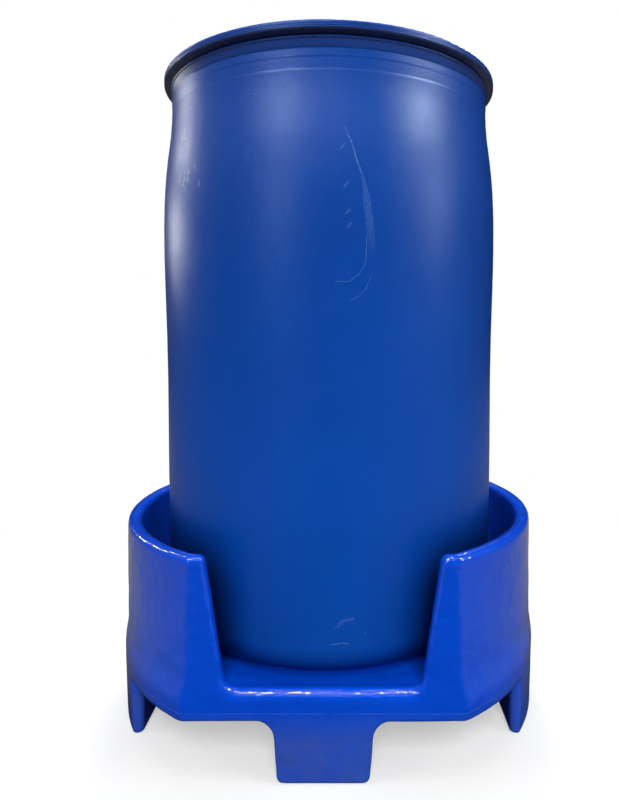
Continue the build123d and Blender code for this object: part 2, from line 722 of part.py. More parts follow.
def make_pin_clip():
    """Snap ring in the pin's groove."""
    clip = Cylinder(4, 0.7) - Cylinder(1.52, 2) - Pos(3, 0, 0) * Box(6, 2.4, 2)
    return Pos(PIVOT_X, 0, PIVOT_Z) * Rot(90, 0, 0) * Pos(0, 0, 10.8) * clip


# ---------------------------------------------------------------- write the parts
PARTS = {
    "trough_stand": make_trough_stand(),
    "moulding_vent_plug": make_moulding_vent_plug(),
    "drain_plug": make_drain_plug(),
    "drain_plug_gasket": make_drain_gasket(),
    "drum_shell": make_drum_shell(),
    "fill_bung": make_bung(CLOSURE_X, BIG_BORE, BUNG_TOP_Z),
    "fill_bung_gasket": make_bung_gasket(CLOSURE_X, BIG_BORE),
    "pipe_bung": make_bung(-CLOSURE_X, SMALL_BORE, BUNG_TOP_Z, VENT_BORE),
    "pipe_bung_gasket": make_bung_gasket(-CLOSURE_X, SMALL_BORE),
    "vent_plug": make_vent_plug(),
    "vent_plug_gasket": make_vent_gasket(),
    "outlet_fitting": make_outlet_fitting(),
    "outlet_gasket": make_outlet_gasket(),
    "outlet_nut": make_outlet_nut(),
    "valve_inlet_washer": make_inlet_washer(),
    "valve_body": make_valve_body(),
    "valve_nozzle": make_valve_nozzle(),
    "valve_plunger": make_valve_plunger(),
    "plunger_washer": make_plunger_washer(),
    "float_lever": make_float_lever(),
    "lever_pin": make_lever_pin(),
    "pin_clip": make_pin_clip(),
    "float_rod": make_float_rod(),
    "rod_locknuts": make_rod_locknuts(),
    "float": make_float(),
}

for name, shape in PARTS.items():
    export_step(shape, f"parts/{name}.step")
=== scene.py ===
import json
import math

import bmesh
import bpy
import numpy as np
from mathutils import Matrix, Vector


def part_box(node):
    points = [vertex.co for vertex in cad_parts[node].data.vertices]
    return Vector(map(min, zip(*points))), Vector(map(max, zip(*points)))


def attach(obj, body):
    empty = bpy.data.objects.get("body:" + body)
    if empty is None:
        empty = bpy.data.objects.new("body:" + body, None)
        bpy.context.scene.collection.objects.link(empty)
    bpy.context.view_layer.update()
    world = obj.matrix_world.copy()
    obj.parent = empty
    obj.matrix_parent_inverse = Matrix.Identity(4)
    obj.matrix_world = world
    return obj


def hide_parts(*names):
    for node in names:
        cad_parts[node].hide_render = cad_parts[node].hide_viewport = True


# Drum-fed waterer: a satin blue drum standing in a glossy blue trough on legs.
# Everything is in metres, in the frame's own axes: +Z up, front at -Y.

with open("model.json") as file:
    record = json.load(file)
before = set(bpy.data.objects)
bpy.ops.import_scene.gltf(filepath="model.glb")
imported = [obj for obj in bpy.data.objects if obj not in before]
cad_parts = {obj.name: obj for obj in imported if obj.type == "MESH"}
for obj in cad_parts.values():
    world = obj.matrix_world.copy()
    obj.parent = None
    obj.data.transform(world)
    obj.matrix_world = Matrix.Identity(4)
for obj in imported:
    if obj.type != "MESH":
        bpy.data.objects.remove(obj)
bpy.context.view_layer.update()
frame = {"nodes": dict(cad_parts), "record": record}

MM = 0.001
WHITE = (1, 1, 1)

nodes = frame["nodes"]
fill_low, fill_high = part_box("fill_bung")
pipe_low, pipe_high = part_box("pipe_bung")

DRUM_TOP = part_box("drum_shell")[1].z
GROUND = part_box("trough_stand")[0].z
FILL_X = (fill_low.x + fill_high.x) / 2
PIPE_X = (pipe_low.x + pipe_high.x) / 2


# ---- mesh helpers
SHARP_ANGLE = math.radians(35)  # edges that bend more than this stay sharp
ARC_STEP = 12  # degrees between the points of a rounding, at most
ON_AXIS = 1e-7  # a smaller radius is a single point on the axis
SAME_PLACE = 1e-6  # lengths closer than this count as equal


def new_object(name, bm, body):
    """Turns a bmesh into an object, smooth except at sharp edges. It rides on the body if one is named."""
    mesh = bpy.data.meshes.new(name)
    bmesh.ops.recalc_face_normals(bm, faces=bm.faces)
    bm.to_mesh(mesh)
    bm.free()
    mesh.shade_smooth()
    mesh.set_sharp_from_angle(angle=SHARP_ANGLE)
    obj = bpy.data.objects.new(name, mesh)
    bpy.context.scene.collection.objects.link(obj)
    if body:
        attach(obj, body)
    return obj


def arc(before, corner, after):
    """Points of the arc that rounds a (radius, height, rounding) corner between its two neighbours."""
    tip = Vector(corner[:2])
    radius = corner[2]
    a = Vector(before[:2]) - tip
    b = Vector(after[:2]) - tip
    half = a.angle(b) / 2
    reach = radius / math.tan(half)
    centre = tip + (a.normalized() + b.normalized()).normalized() * (radius / math.sin(half))
    start = tip + a.normalized() * reach - centre
    end = tip + b.normalized() * reach - centre
    turn = start.angle_signed(end)
    count = max(2, math.ceil(abs(math.degrees(turn)) / ARC_STEP))
    out = []
    for k in range(count + 1):
        angle = -turn * k / count
        c, s = math.cos(angle), math.sin(angle)
        out.append((centre.x + c * start.x - s * start.y, centre.y + s * start.x + c * start.y))
    return out


def rounded(corners):
    """An outline from (radius, height, rounding) corners. The first and the last stay sharp."""
    out = []
    for i, (r, z, radius) in enumerate(corners):
        if radius <= 0 or i in (0, len(corners) - 1):
            out.append((r, z))
        else:
            out += arc(corners[i - 1], corners[i], corners[i + 1])
    return out


def turned_ring(bm, r, z, segments, x, shape):
    """The vertices that one outline point makes: a single one on the axis, else a full turn."""
    if r < ON_AXIS:
        return [bm.verts.new((x, 0.0, z))]
    step = 2 * math.pi / segments
    ring = []
    for k in range(segments):
        angle = k * step
        used = shape(r, z, angle) if shape else r
        ring.append(bm.verts.new((x + used * math.sin(angle), -used * math.cos(angle), z)))
    return ring


def join_rings(bm, a, b):
    """Faces between two rings of vertices. Either ring may be a single vertex."""
    if len(a) == 1 and len(b) == 1:
        return
    count = max(len(a), len(b))
    for k in range(count):
        k2 = (k + 1) % count
        if len(a) == 1:
            bm.faces.new((a[0], b[k], b[k2]))
        elif len(b) == 1:
            bm.faces.new((a[k], b[0], a[k2]))
        else:
            bm.faces.new((a[k], b[k], b[k2], a[k2]))


def lathe(outline, segments, x=0.0, closed=False, shape=None):
    """A bmesh turned about an upright axis at x from an outline of (radius, height) points.

    A closed outline runs on from its last point to its first. shape(r, z, angle) gives the
    radius really used, for threads, ribs and hexagons. Angles are counted from the front.
    """
    bm = bmesh.new()
    rings = [turned_ring(bm, r, z, segments, x, shape) for r, z in outline]
    for a, b in zip(rings, rings[1:]):
        join_rings(bm, a, b)
    if closed:
        join_rings(bm, rings[-1], rings[0])
    return bm


def apply_modifiers(obj):
    """Makes the modified shape the object's own mesh."""
    depsgraph = bpy.context.evaluated_depsgraph_get()
    mesh = bpy.data.meshes.new_from_object(obj.evaluated_get(depsgraph))
    obj.modifiers.clear()
    obj.data = mesh


def boolean(target, tools, operation):
    """Joins the tools to the target or cuts them out of it, and deletes them."""
    for tool in tools:
        mod = target.modifiers.new("cut", "BOOLEAN")
        mod.operation = operation
        mod.solver = "EXACT"
        mod.object = tool
        apply_modifiers(target)
        bpy.data.objects.remove(tool)


# ---- material helpers
def srgb(r, g, b):
    """A colour given as 0..255 screen values, as linear light."""
    out = []
    for c in (r, g, b):
        c = c / 255
        out.append(c / 12.92 if c <= 0.04045 else ((c + 0.055) / 1.055) ** 2.4)
    return (*out, 1.0)


class Nodes:
    """Short calls for building a node tree. Values are sockets or plain numbers."""

    def __init__(self, tree):
        self.tree = tree

    def node(self, kind, **values):
        """A new node. Each value goes to the input or else to the property of that name."""
        made = self.tree.nodes.new(kind)
        for key, value in values.items():
            if key in made.inputs:
                self.set(made.inputs[key], value)
            else:
                setattr(made, key, value)
        return made

    def set(self, socket, value):
        """Links a socket to the value if that is a socket too, or else stores the value in it."""
        if isinstance(value, bpy.types.NodeSocket):
            self.tree.links.new(value, socket)
        else:
            socket.default_value = value

    def ramp(self, value, low, high, to_low=0.0, to_high=1.0):
        """Goes from to_low to to_high as the value goes from low to high, and stays there."""
        ends = {"From Min": low, "From Max": high, "To Min": to_low, "To Max": to_high}
        return self.node("ShaderNodeMapRange", Value=value, **ends).outputs["Result"]

    def math(self, operation, a, b=0.0, c=0.0):
        """One arithmetic step on up to three values."""
        made = self.node("ShaderNodeMath", operation=operation)
        for socket, value in zip(made.inputs, (a, b, c)):
            self.set(socket, value)
        return made.outputs[0]

    def fold(self, operation, values):
        """Joins several values by one arithmetic step at a time."""
        total = values[0]
        for value in values[1:]:
            total = self.math(operation, total, value)
        return total

    def times(self, *values):
        """The product of all the values."""
        return self.fold("MULTIPLY", values)

    def either(self, *masks):
        """The strongest of several masks."""
        return self.fold("MAXIMUM", masks)

    def off(self, value, middle):
        """How far a value is from a middle one."""
        return self.math("ABSOLUTE", self.math("SUBTRACT", value, middle))

    def blend(self, factor, a, b):
        """A value that goes from a to b as the factor goes from 0 to 1."""
        made = self.node("ShaderNodeMix", data_type="FLOAT")
        self.set(made.inputs[0], factor)
        self.set(made.inputs[2], a)
        self.set(made.inputs[3], b)
        return made.outputs[0]

    def part(self, vector, name):
        """One of a vector's three parts."""
        return self.node("ShaderNodeSeparateXYZ", Vector=vector).outputs[name]

    def vector(self, operation, a, b=None, out="Vector"):
        """One step of vector arithmetic."""
        made = self.node("ShaderNodeVectorMath", operation=operation)
        self.set(made.inputs[0], a)
        if b is not None:
            self.set(made.inputs["Scale" if operation == "SCALE" else 1], b)
        return made.outputs[out]


class Shader(Nodes):
    """A material with a principled shader, and calls for colours, masks and normals on it."""

    def __init__(self, name):
        self.material = bpy.data.materials.new(name)
        self.material.use_nodes = True
        super().__init__(self.material.node_tree)
        self.tree.nodes.clear()
        self.bsdf = self.node("ShaderNodeBsdfPrincipled")
        self.surface = self.node("ShaderNodeOutputMaterial", Surface=self.bsdf.outputs[0]).inputs["Surface"]
        self.place = self.node("ShaderNodeTexCoord").outputs["Object"]

    def put(self, **values):
        """Sets inputs of the principled shader; underscores stand for spaces."""
        for key, value in values.items():
            self.set(self.bsdf.inputs[key.replace("_", " ")], value)

    def scaled(self, x, y, z):
        """The object's coordinates stretched by the given factors."""
        return self.node("ShaderNodeMapping", Scale=(x, y, z), Vector=self.place).outputs["Vector"]

    def noise(self, scale, detail=3.0, rough=0.5, vector=None):
        """Soft noise, about 0 to 1 around 0.5, with scale lumps to the metre."""
        made = self.node("ShaderNodeTexNoise", Scale=scale, Detail=detail, Roughness=rough)
        self.set(made.inputs["Vector"], self.place if vector is None else vector)
        return made.outputs["Fac"]

    def mix(self, factor, a, b):
        """A colour that goes from a to b as the factor goes from 0 to 1."""
        made = self.node("ShaderNodeMix", data_type="RGBA", blend_type="MIX")
        self.set(made.inputs[0], factor)
        self.set(made.inputs[6], a)
        self.set(made.inputs[7], b)
        return made.outputs[2]

    def tint(self, color, mask, amount, towards):
        """Mixes a colour towards another where the mask is, by the given amount at most."""
        return self.mix(self.times(mask, amount), color, towards)

    def bump(self, height, strength, distance, normal=None):
        """A normal bent by a height that is worth the distance, on top of another normal."""
        made = self.node("ShaderNodeBump", Strength=strength, Distance=distance, Height=height)
        if normal is not None:
            self.set(made.inputs["Normal"], normal)
        return made.outputs["Normal"]

    def normal(self):
        """The surface's own normal."""
        return self.node("ShaderNodeNewGeometry").outputs["Normal"]

    def axis(self, name):
        """One of the object's own coordinates."""
        return self.part(self.place, name)

    def polyline(self, flat, points):
        """Distance from a flattened place to a chain of (x, z) points."""
        nearest = None
        for (ax, az), (bx, bz) in zip(points, points[1:]):
            along = Vector((bx - ax, 0, bz - az))
            away = self.vector("SUBTRACT", flat, (ax, 0, az))
            part = self.vector("DOT_PRODUCT", away, along / max(along.length_squared, 1e-12), "Value")
            held = self.node("ShaderNodeClamp", Value=part)
            step = self.vector("SCALE", tuple(along), held.outputs[0])
            gap = self.vector("LENGTH", self.vector("SUBTRACT", away, step), out="Value")
            nearest = gap if nearest is None else self.math("MINIMUM", nearest, gap)
        return nearest

    def edge_wear(self, low=0.52, high=0.62):
        """A mask that is 1 on convex edges."""
        geometry = self.node("ShaderNodeNewGeometry")
        return self.ramp(geometry.outputs["Pointiness"], low, high)

    def patches(self, scale, low, high, detail=8.0):
        """A patchy mask for scuffs and dirt: noise that counts from low and is full from high."""
        return self.ramp(self.noise(scale, detail, rough=0.7), low, high)

    def openness(self, reach):
        """How open a point is to its surroundings within reach: 1 in the open, 0 in a slit."""
        return self.node("ShaderNodeAmbientOcclusion", samples=4, Distance=reach).outputs["AO"]


# ---- marks on the drum
# Chains of points on the front of the drum, in mm to the right of its middle and above the ground.
SCRATCH_START = ((30, 927), (36, 914))
SCRATCH_STROKE = ((36, 914), (41, 903), (47, 882), (54, 862))
SCRAPE_BAND = ((54, 862), (60, 837), (65, 800), (67, 772), (70, 752))
SCRATCH_BRANCH = ((61, 772), (60, 736), (51, 721), (37, 710), (18, 710))
SCRATCH_ARC = ((69, 721), (61, 701), (51, 690), (39, 684))
FINE_SCRATCHES = (((-55, 1028), (-37, 1027)), ((-52, 1010), (-17, 1008)))
LOW_SCUFFS = (((10, 194), (24, 195)), ((27, 195), (36, 194)), ((60, 207), (61, 208)))
LOW_RUB = ((20, 219), (24, 224), (31, 229), (42, 230))
RUBBED_SPOTS = (
    ((25, 894), (30, 900)), ((30, 841), (35, 847)), ((33, 804), (38, 810)), ((35, 785), (40, 791)),
)
FLANK_SCUFFS = (
    ((-222, 959), (-218, 938)), ((-225, 946), (-224, 937)), ((-223, 925), (-221, 918)),
    ((-217, 885), (-216, 869)), ((-209, 883), (-211, 867)), ((-224, 884), (-228, 870)),
    ((-231, 876), (-229, 872)), ((-196, 892), (-194, 879)), ((-188, 865), (-187, 856)),
    ((-219, 866), (-216, 856)),
)
NICK = ((189.5, 1050), (189.5, 1056))

# Patches of flecks rubbed into the left flank: x, z, and how far they reach around a short core.
FLANK_RUBS = ((-216, 876, 17), (-221, 938, 14), (-204, 992, 12))
RUB_CORE = 6
PITS = ((-54, 983), (-4, 984), (26, 934))
PIT_HALF = 1

# Round marks of the mould's air vents: the x of a column and the heights in it.
VENT_MARKS = ((35.5, (952, 798, 635, 519)), (-103.6, (971, 886, 798, 635)))
VENT_MARK_R = 7.5
SEAM_RING_Z = 613

# The scrape's wide part: half its width, the same at its upper tip, the length over which it narrows
# to that tip, and where it fades, measured up from its lower end.
SCRAPE_HALF = 4.6
SCRAPE_TIP = 0.5
SCRAPE_TAPER = 45
SCRAPE_FADE = (-4, 40)

# Marks wander by up to this much, so that no stroke is quite straight.
WANDER = 2 * MM
# Marks fade out over this much in front of the mould's parting line at y = 0.
FRONT_MARGIN = 20 * MM


class DrumMarks:
    """Masks for the marks on the drum's wall, laid out as seen from the front. Sizes are in mm."""

    def __init__(self, shader):
        s = self.shader = shader
        wander = s.math("MULTIPLY_ADD", s.noise(scale=55.0, detail=2.0), 2 * WANDER, -WANDER)
        shift = s.node("ShaderNodeCombineXYZ", X=wander, Z=wander).outputs[0]
        self.flat = s.vector("ADD", s.vector("MULTIPLY", s.place, (1, 0, 1)), shift)
        self.front = s.ramp(s.axis("Y"), -FRONT_MARGIN, 0.0, 1.0, 0.0)
        self.rubbed = s.patches(320.0, 0.34, 0.56, detail=4.0)

    def gap(self, points):
        """Distance to a chain of points."""
        return self.shader.polyline(self.flat, [(x * MM, z * MM) for x, z in points])

    def line(self, points, half, soft=0.5):
        """A stroke along a chain, solid up to half its width and faded out over soft."""
        return self.shader.ramp(self.gap(points), half * MM, (half + soft) * MM, 1.0, 0.0)

    def lines(self, chains, half, soft, strength):
        """Strokes of one kind along several chains."""
        return [self.shader.times(self.line(points, half, soft), strength) for points in chains]

    def scrape(self):
        """The long scrape: a stroke that widens into a rubbed band with a clear rim, and its branches."""
        s = self.shader
        top = SCRAPE_BAND[0][1] * MM
        bottom = SCRAPE_BAND[-1][1] * MM
        half = s.ramp(s.axis("Z"), top - SCRAPE_TAPER * MM, top, SCRAPE_HALF * MM, SCRAPE_TIP * MM)
        fade_start, fade_end = SCRAPE_FADE
        fade = s.ramp(s.axis("Z"), bottom + fade_start * MM, bottom + fade_end * MM, 0.1, 1.0)
        beyond = s.math("SUBTRACT", self.gap(SCRAPE_BAND), half)
        band = s.times(s.ramp(beyond, -1.0 * MM, 0.6 * MM, 0.42, 0.0), fade)
        rim = s.times(s.ramp(s.math("ABSOLUTE", beyond), 0.2 * MM, 1.0 * MM, 0.6, 0.0), fade)
        stroke = self.line(SCRATCH_STROKE, 0.7)
        start = self.line(SCRATCH_START, 0.2)
        branches = self.lines((SCRATCH_BRANCH, SCRATCH_ARC), half=0.3, soft=0.5, strength=0.75)
        return s.either(stroke, start, band, rim, *branches)

    def pale(self):
        """The scrape, the fine scratches, the rubbed spots and the scuffs near the drum's foot."""
        s = self.shader
        fine = self.lines(FINE_SCRATCHES, half=0.2, soft=0.5, strength=0.5)
        low = self.lines(LOW_SCUFFS, half=0.5, soft=0.5, strength=0.8)
        spots = self.lines(RUBBED_SPOTS, half=0.4, soft=1.6, strength=0.5)
        rub = s.times(self.line(LOW_RUB, half=0.8, soft=2.5), 0.5, self.rubbed)
        marks = s.either(s.times(self.scrape(), self.rubbed), rub, *fine, *low, *spots)
        return s.times(marks, self.front)

    def bright(self):
        """Broken scuffs and flecks on the left flank, nearly white."""
        s = self.shader
        broken = s.ramp(s.noise(420.0, 4.0, 0.7, s.scaled(1, 1, 0.4)), 0.42, 0.56)
        flecks = s.ramp(s.noise(300.0, 5.0, 0.75, s.scaled(1, 1, 0.3)), 0.57, 0.64)
        marks = self.lines(FLANK_SCUFFS, half=0.25, soft=0.9, strength=0.8)
        for x, z, reach in FLANK_RUBS:
            patch = self.line(((x, z - RUB_CORE), (x, z + RUB_CORE)), half=3, soft=reach)
            marks.append(s.times(patch, flecks))
        return s.times(s.either(*marks), broken, self.front)

    def dark(self):
        """A nick near the top and three small pits."""
        s = self.shader
        pits = [self.line(((x, z - PIT_HALF), (x, z + PIT_HALF)), half=0.6) for x, z in PITS]
        return s.times(s.either(self.line(NICK, half=0.5), *pits), self.front, 0.8)

    def relief(self, pale):
        """Heights of the vent marks and the mould's seams, less the depth of the pale marks."""
        s = self.shader
        rings = []
        for x, heights in VENT_MARKS:
            for z in heights:
                edge = s.off(self.gap(((x, z), (x, z))), VENT_MARK_R * MM)
                rings.append(s.ramp(edge, 0.3 * MM, 1.3 * MM, 0.35, 0.0))
        seam = s.ramp(s.off(s.axis("Z"), SEAM_RING_Z * MM), 0.3 * MM, 1.2 * MM, 0.15, 0.0)
        parting = s.ramp(s.math("ABSOLUTE", s.axis("Y")), 0.3 * MM, 1.2 * MM, 0.6, 0.0)
        raised = s.either(*rings, s.either(seam, parting))
        return s.math("SUBTRACT", raised, s.times(pale, 0.5))


# ---- materials
# Painted light on the undersides under the lifting ring, mixed towards grey, starts at the first height and
# is full from the second.
UNDERSIDE_LIGHT_Z = (0.8, 0.9)
# Painted shade: the drum's colour darkens upwards through this band, by this much, to even out the stronger
# lamp light on its upper part.
TOP_SHADE_BAND = (0.45, 0.80)
TOP_SHADE_AMOUNT = 0.19
# How far from the trough's walls the drum is painted darker, as painted shade where the walls shadow it,
# and by how much.
WALL_SHADE_REACH = 0.19
WALL_SHADE_AMOUNT = 0.88


def drum_color(s, pale, bright, dark):
    """Blue with clouds, streaks, scuffs and grain, painted greyish light on the undersides, painted shade
    towards the top and near the trough's walls, and with the marks on it.
    """
    cloud = s.ramp(s.noise(scale=5.0, detail=4.0), 0.3, 0.7)
    color = s.mix(cloud, srgb(0, 65, 163), srgb(0, 71, 173))
    streak = s.ramp(s.noise(14.0, 4.0, 0.6, s.scaled(1, 1, 0.08)), 0.35, 0.7)
    color = s.tint(color, streak, 0.18, srgb(14, 84, 176))
    scuff = s.times(s.patches(60.0, 0.70, 0.80), s.patches(6.0, 0.52, 0.62))
    color = s.tint(color, scuff, 0.45, srgb(95, 130, 195))
    grain = s.ramp(s.noise(scale=430.0, detail=2.0, rough=0.6), 0.35, 0.65)
    color = s.tint(color, grain, 0.16, srgb(8, 92, 198))
    # Painted light: downward faces under the ring are mixed towards grey for the dim greyish light they
    # get.
    painted_underside_light = s.times(s.ramp(s.part(s.normal(), "Z"), -0.25, -0.7), s.ramp(s.axis("Z"), *UNDERSIDE_LIGHT_Z))
    uneven = s.ramp(s.noise(scale=70.0, detail=5.0, rough=0.65), 0.25, 0.6, 0.35, 0.65)
    color = s.mix(s.times(painted_underside_light, uneven), color, srgb(98, 97, 104))
    # Painted shade: darker towards the top, where the lamps light the drum more.
    painted_top_shade = s.ramp(s.axis("Z"), *TOP_SHADE_BAND, 0.0, TOP_SHADE_AMOUNT)
    color = s.mix(painted_top_shade, color, srgb(0, 8, 20))
    color = s.tint(color, pale, 0.42, srgb(112, 148, 204))
    color = s.tint(color, bright, 0.6, srgb(214, 222, 238))
    color = s.mix(dark, color, srgb(2, 22, 66))
    # Painted shade: the drum darkens in the trough's shadow near its walls and floor.
    painted_wall_shade = s.ramp(s.openness(WALL_SHADE_REACH), 0.88, 0.28)
    return s.tint(color, painted_wall_shade, WALL_SHADE_AMOUNT, srgb(0, 14, 60))


def drum_plastic():
    """Satin blow-moulded polyethylene: fine pebble, slow ripples, marks and seams."""
    s = Shader("drum_plastic")
    marks = DrumMarks(s)
    pale = marks.pale()
    color = drum_color(s, pale, marks.bright(), marks.dark())
    pebble = s.noise(scale=520.0, detail=3.0, rough=0.65)
    ripple = s.noise(9.0, 3.0, 0.5, s.scaled(1, 1, 0.35))
    normal = s.bump(pebble, strength=0.36, distance=0.7 * MM)
    normal = s.bump(ripple, strength=0.22, distance=4 * MM, normal=normal)
    normal = s.bump(marks.relief(pale), strength=0.5, distance=0.5 * MM, normal=normal)
    rough = s.ramp(s.noise(scale=40.0, detail=5.0), 0.3, 0.7, 0.31, 0.36)
    s.put(Base_Color=color, Roughness=rough, Normal=normal, IOR=1.5, Specular_IOR_Level=0.3)
    return s.material


PARTING_Z = 101.3 * MM
# A painted reflection of the pale floor on the trough's low parts starts at the first height and is full at
# the second.
PAINTED_REFLECTION_Z = (0.105, 0.060)
# Narrow gaps up to this size hold a dull film that takes the gloss off the trough.
FILM_REACH = 0.08


def trough_parting(s):
    """A mask for the line that the mould's parting leaves around the trough, broken in places."""
    line = s.ramp(s.off(s.axis("Z"), PARTING_Z), 0.4 * MM, 1.3 * MM, 1.0, 0.0)
    return s.times(line, s.patches(26.0, 0.35, 0.6, detail=3.0))


def trough_color(s, parting):
    """Bright blue with clouds, worn edges, specks, grit on the inner walls, a parting line that is paler
    partly as a painted highlight, and a painted reflection of the floor low down.
    """
    cloud = s.ramp(s.noise(scale=4.0, detail=4.0), 0.3, 0.7)
    color = s.mix(cloud, srgb(0, 69, 205), srgb(0, 76, 216))
    worn = s.times(s.edge_wear(0.53, 0.66), s.patches(30.0, 0.45, 0.7))
    color = s.tint(color, worn, 0.35, srgb(70, 120, 225))
    speck = s.patches(220.0, 0.74, 0.80)
    color = s.tint(color, speck, 0.5, srgb(80, 125, 220))
    from_axis = s.vector("MULTIPLY", s.place, (1, 1, 0))
    outward = s.vector("DOT_PRODUCT", from_axis, s.normal(), "Value")
    grit = s.times(s.patches(380.0, 0.58, 0.68, detail=3.0), s.ramp(outward, -0.05, -0.2))
    color = s.tint(color, grit, 0.55, srgb(104, 98, 96))
    # Paler along the parting line: partly the ridge's own colour, partly a painted highlight of the light
    # it catches.
    color = s.tint(color, parting, 0.16, srgb(110, 140, 225))
    # Painted reflection: low parts are mixed towards the greyish light that the floor reflects in them.
    uneven = s.ramp(s.noise(scale=24.0, detail=6.0, rough=0.65), 0.25, 0.7, 0.20, 0.46)
    painted_floor_reflection = s.times(s.ramp(s.axis("Z"), *PAINTED_REFLECTION_Z, 0.0, 1.0), uneven)
    return s.mix(painted_floor_reflection, color, srgb(84, 99, 132))


def trough_plastic():
    """Glossy rotationally moulded polyethylene: orange peel, slow waves, a dull film in narrow gaps."""
    s = Shader("trough_plastic")
    parting = trough_parting(s)
    color = trough_color(s, parting)
    normal = s.bump(s.noise(scale=160.0, detail=2.0), strength=0.14, distance=1 * MM)
    normal = s.bump(s.noise(scale=30.0, detail=2.0), strength=0.60, distance=4 * MM, normal=normal)
    normal = s.bump(parting, strength=0.6, distance=0.6 * MM, normal=normal)
    rough = s.ramp(s.noise(scale=25.0, detail=6.0, rough=0.6), 0.3, 0.75, 0.28, 0.40)
    s.put(Base_Color=color, Roughness=rough, Normal=normal, IOR=1.5, Specular_IOR_Level=0.08)
    gloss = s.ramp(s.openness(FILM_REACH), 0.5, 0.8)
    s.put(Coat_Weight=gloss, Coat_Roughness=0.08, Coat_IOR=1.6, Coat_Normal=normal)
    return s.material


def plain_plastic(name, light, dark, rough_low, rough_high):
    """Moulded plastic with slight mottling, fine grain and paler edges."""
    s = Shader(name)
    cloud = s.ramp(s.noise(scale=45.0, detail=5.0), 0.35, 0.65)
    color = s.mix(cloud, dark, light)
    worn = s.times(s.edge_wear(), s.patches(120.0, 0.4, 0.7))
    color = s.tint(color, worn, 0.3, srgb(200, 200, 196))
    normal = s.bump(s.noise(scale=500.0), strength=0.15, distance=0.4 * MM)
    rough = s.ramp(s.noise(scale=90.0, detail=4.0), 0.3, 0.7, rough_low, rough_high)
    s.put(Base_Color=color, Roughness=rough, Normal=normal)
    return s.material


def rubber():
    """Matt black rubber with a dusty bloom."""
    s = Shader("seal_rubber")
    bloom = s.ramp(s.noise(scale=60.0, detail=6.0, rough=0.65), 0.45, 0.75)
    color = s.mix(bloom, srgb(22, 22, 23), srgb(58, 58, 58))
    normal = s.bump(s.noise(scale=1400.0, detail=2.0), strength=0.3, distance=0.3 * MM)
    s.put(Base_Color=color, Roughness=s.ramp(bloom, 0, 1, 0.62, 0.85), Normal=normal)
    return s.material


def metal(name, light, dark, rough_low, rough_high):
    """Turned metal: fine tool marks, tarnish in patches, brighter edges."""
    s = Shader(name)
    tarnish = s.ramp(s.noise(scale=70.0, detail=7.0, rough=0.65), 0.42, 0.7)
    color = s.mix(tarnish, light, dark)
    color = s.tint(color, s.edge_wear(), 0.5, light)
    tool_marks = s.noise(700.0, 2.0, 0.5, s.scaled(0.2, 0.2, 4.0))
    normal = s.bump(tool_marks, strength=0.2, distance=0.3 * MM)
    rough = s.ramp(s.noise(scale=120.0, detail=4.0), 0.3, 0.7, rough_low, rough_high)
    s.put(Base_Color=color, Metallic=1.0, Roughness=rough, Normal=normal)
    return s.material


# Slot name, light colour, dark colour, lowest and highest roughness.
PLASTICS = (
    ("closure_plastic", (226, 225, 216), (205, 203, 192), 0.35, 0.50),
    ("vent_plastic", (38, 38, 40), (26, 26, 28), 0.38, 0.52),
    ("fitting_plastic", (34, 34, 36), (22, 22, 24), 0.35, 0.50),
    ("float_plastic", (236, 234, 224), (216, 213, 200), 0.28, 0.40),
)
METALS = (
    ("valve_brass", (214, 178, 104), (150, 112, 58), 0.22, 0.38),
    ("pin_steel", (196, 197, 200), (140, 141, 146), 0.20, 0.35),
)
FINISHES = {
    "drum_plastic": drum_plastic(),
    "trough_plastic": trough_plastic(),
    "seal_rubber": rubber(),
}
for maker, kinds in ((plain_plastic, PLASTICS), (metal, METALS)):
    for slot, light, dark, rough_low, rough_high in kinds:
        FINISHES[slot] = maker(slot, srgb(*light), srgb(*dark), rough_low, rough_high)


def set_finish(obj, slot):
    """Gives an object one of the finishes as its only material."""
    obj.data.materials.clear()
    obj.data.materials.append(FINISHES[slot])


hidden_nodes = set()


def give(obj, slot, replaced=None):
    """Gives a new piece a finish, and the place of a CAD node if one is named."""
    if replaced:
        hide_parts(replaced)
        hidden_nodes.add(replaced)
    set_finish(obj, slot)


for entry in frame["record"]["subparts"]:
    set_finish(nodes[entry["node"]], entry["material_slot"])


# ---- trough
VOXEL = 2.6 * MM
AIR_HOLE_R = 5.6 * MM  # a little wider than the moulding's air hole
AIR_HOLE_RISE = 1 * MM  # how far above its plug the hole's faces are looked for

# Waves of the walls: seed, how many, shortest and longest, height.
SWAY = (7, 14, 0.07, 0.30, 0.35 * MM)
RIPPLE = (8, 16, 0.025, 0.07, 0.16 * MM)
# The feet stay flat up to this height, and the waves grow to full over the next stretch.
FLAT_FEET = 4 * MM
WAVE_GROWTH = 20 * MM

# The two lips and the strip around them that is rounded off.
LIP_Z = GROUND + 133 * MM
LIP_STRIP = (-16 * MM, 14 * MM)
LIP_HALF_X = 0.18
LIP_MIN_Y = 0.25


def cad_copy(name):
    """A bmesh with the same shape as a CAD node, with its seams welded."""
    bm = bmesh.new()
    bm.from_mesh(nodes[name].data)
    bmesh.ops.remove_doubles(bm, verts=bm.verts, dist=SAME_PLACE)
    return bm


def connected(start):
    """All the vertices that edges lead to from one vertex."""
    seen = {start}
    frontier = [start]
    while frontier:
        vert = frontier.pop()
        for edge in vert.link_edges:
            other = edge.other_vert(vert)
            if other not in seen:
                seen.add(other)
                frontier.append(other)
    return seen


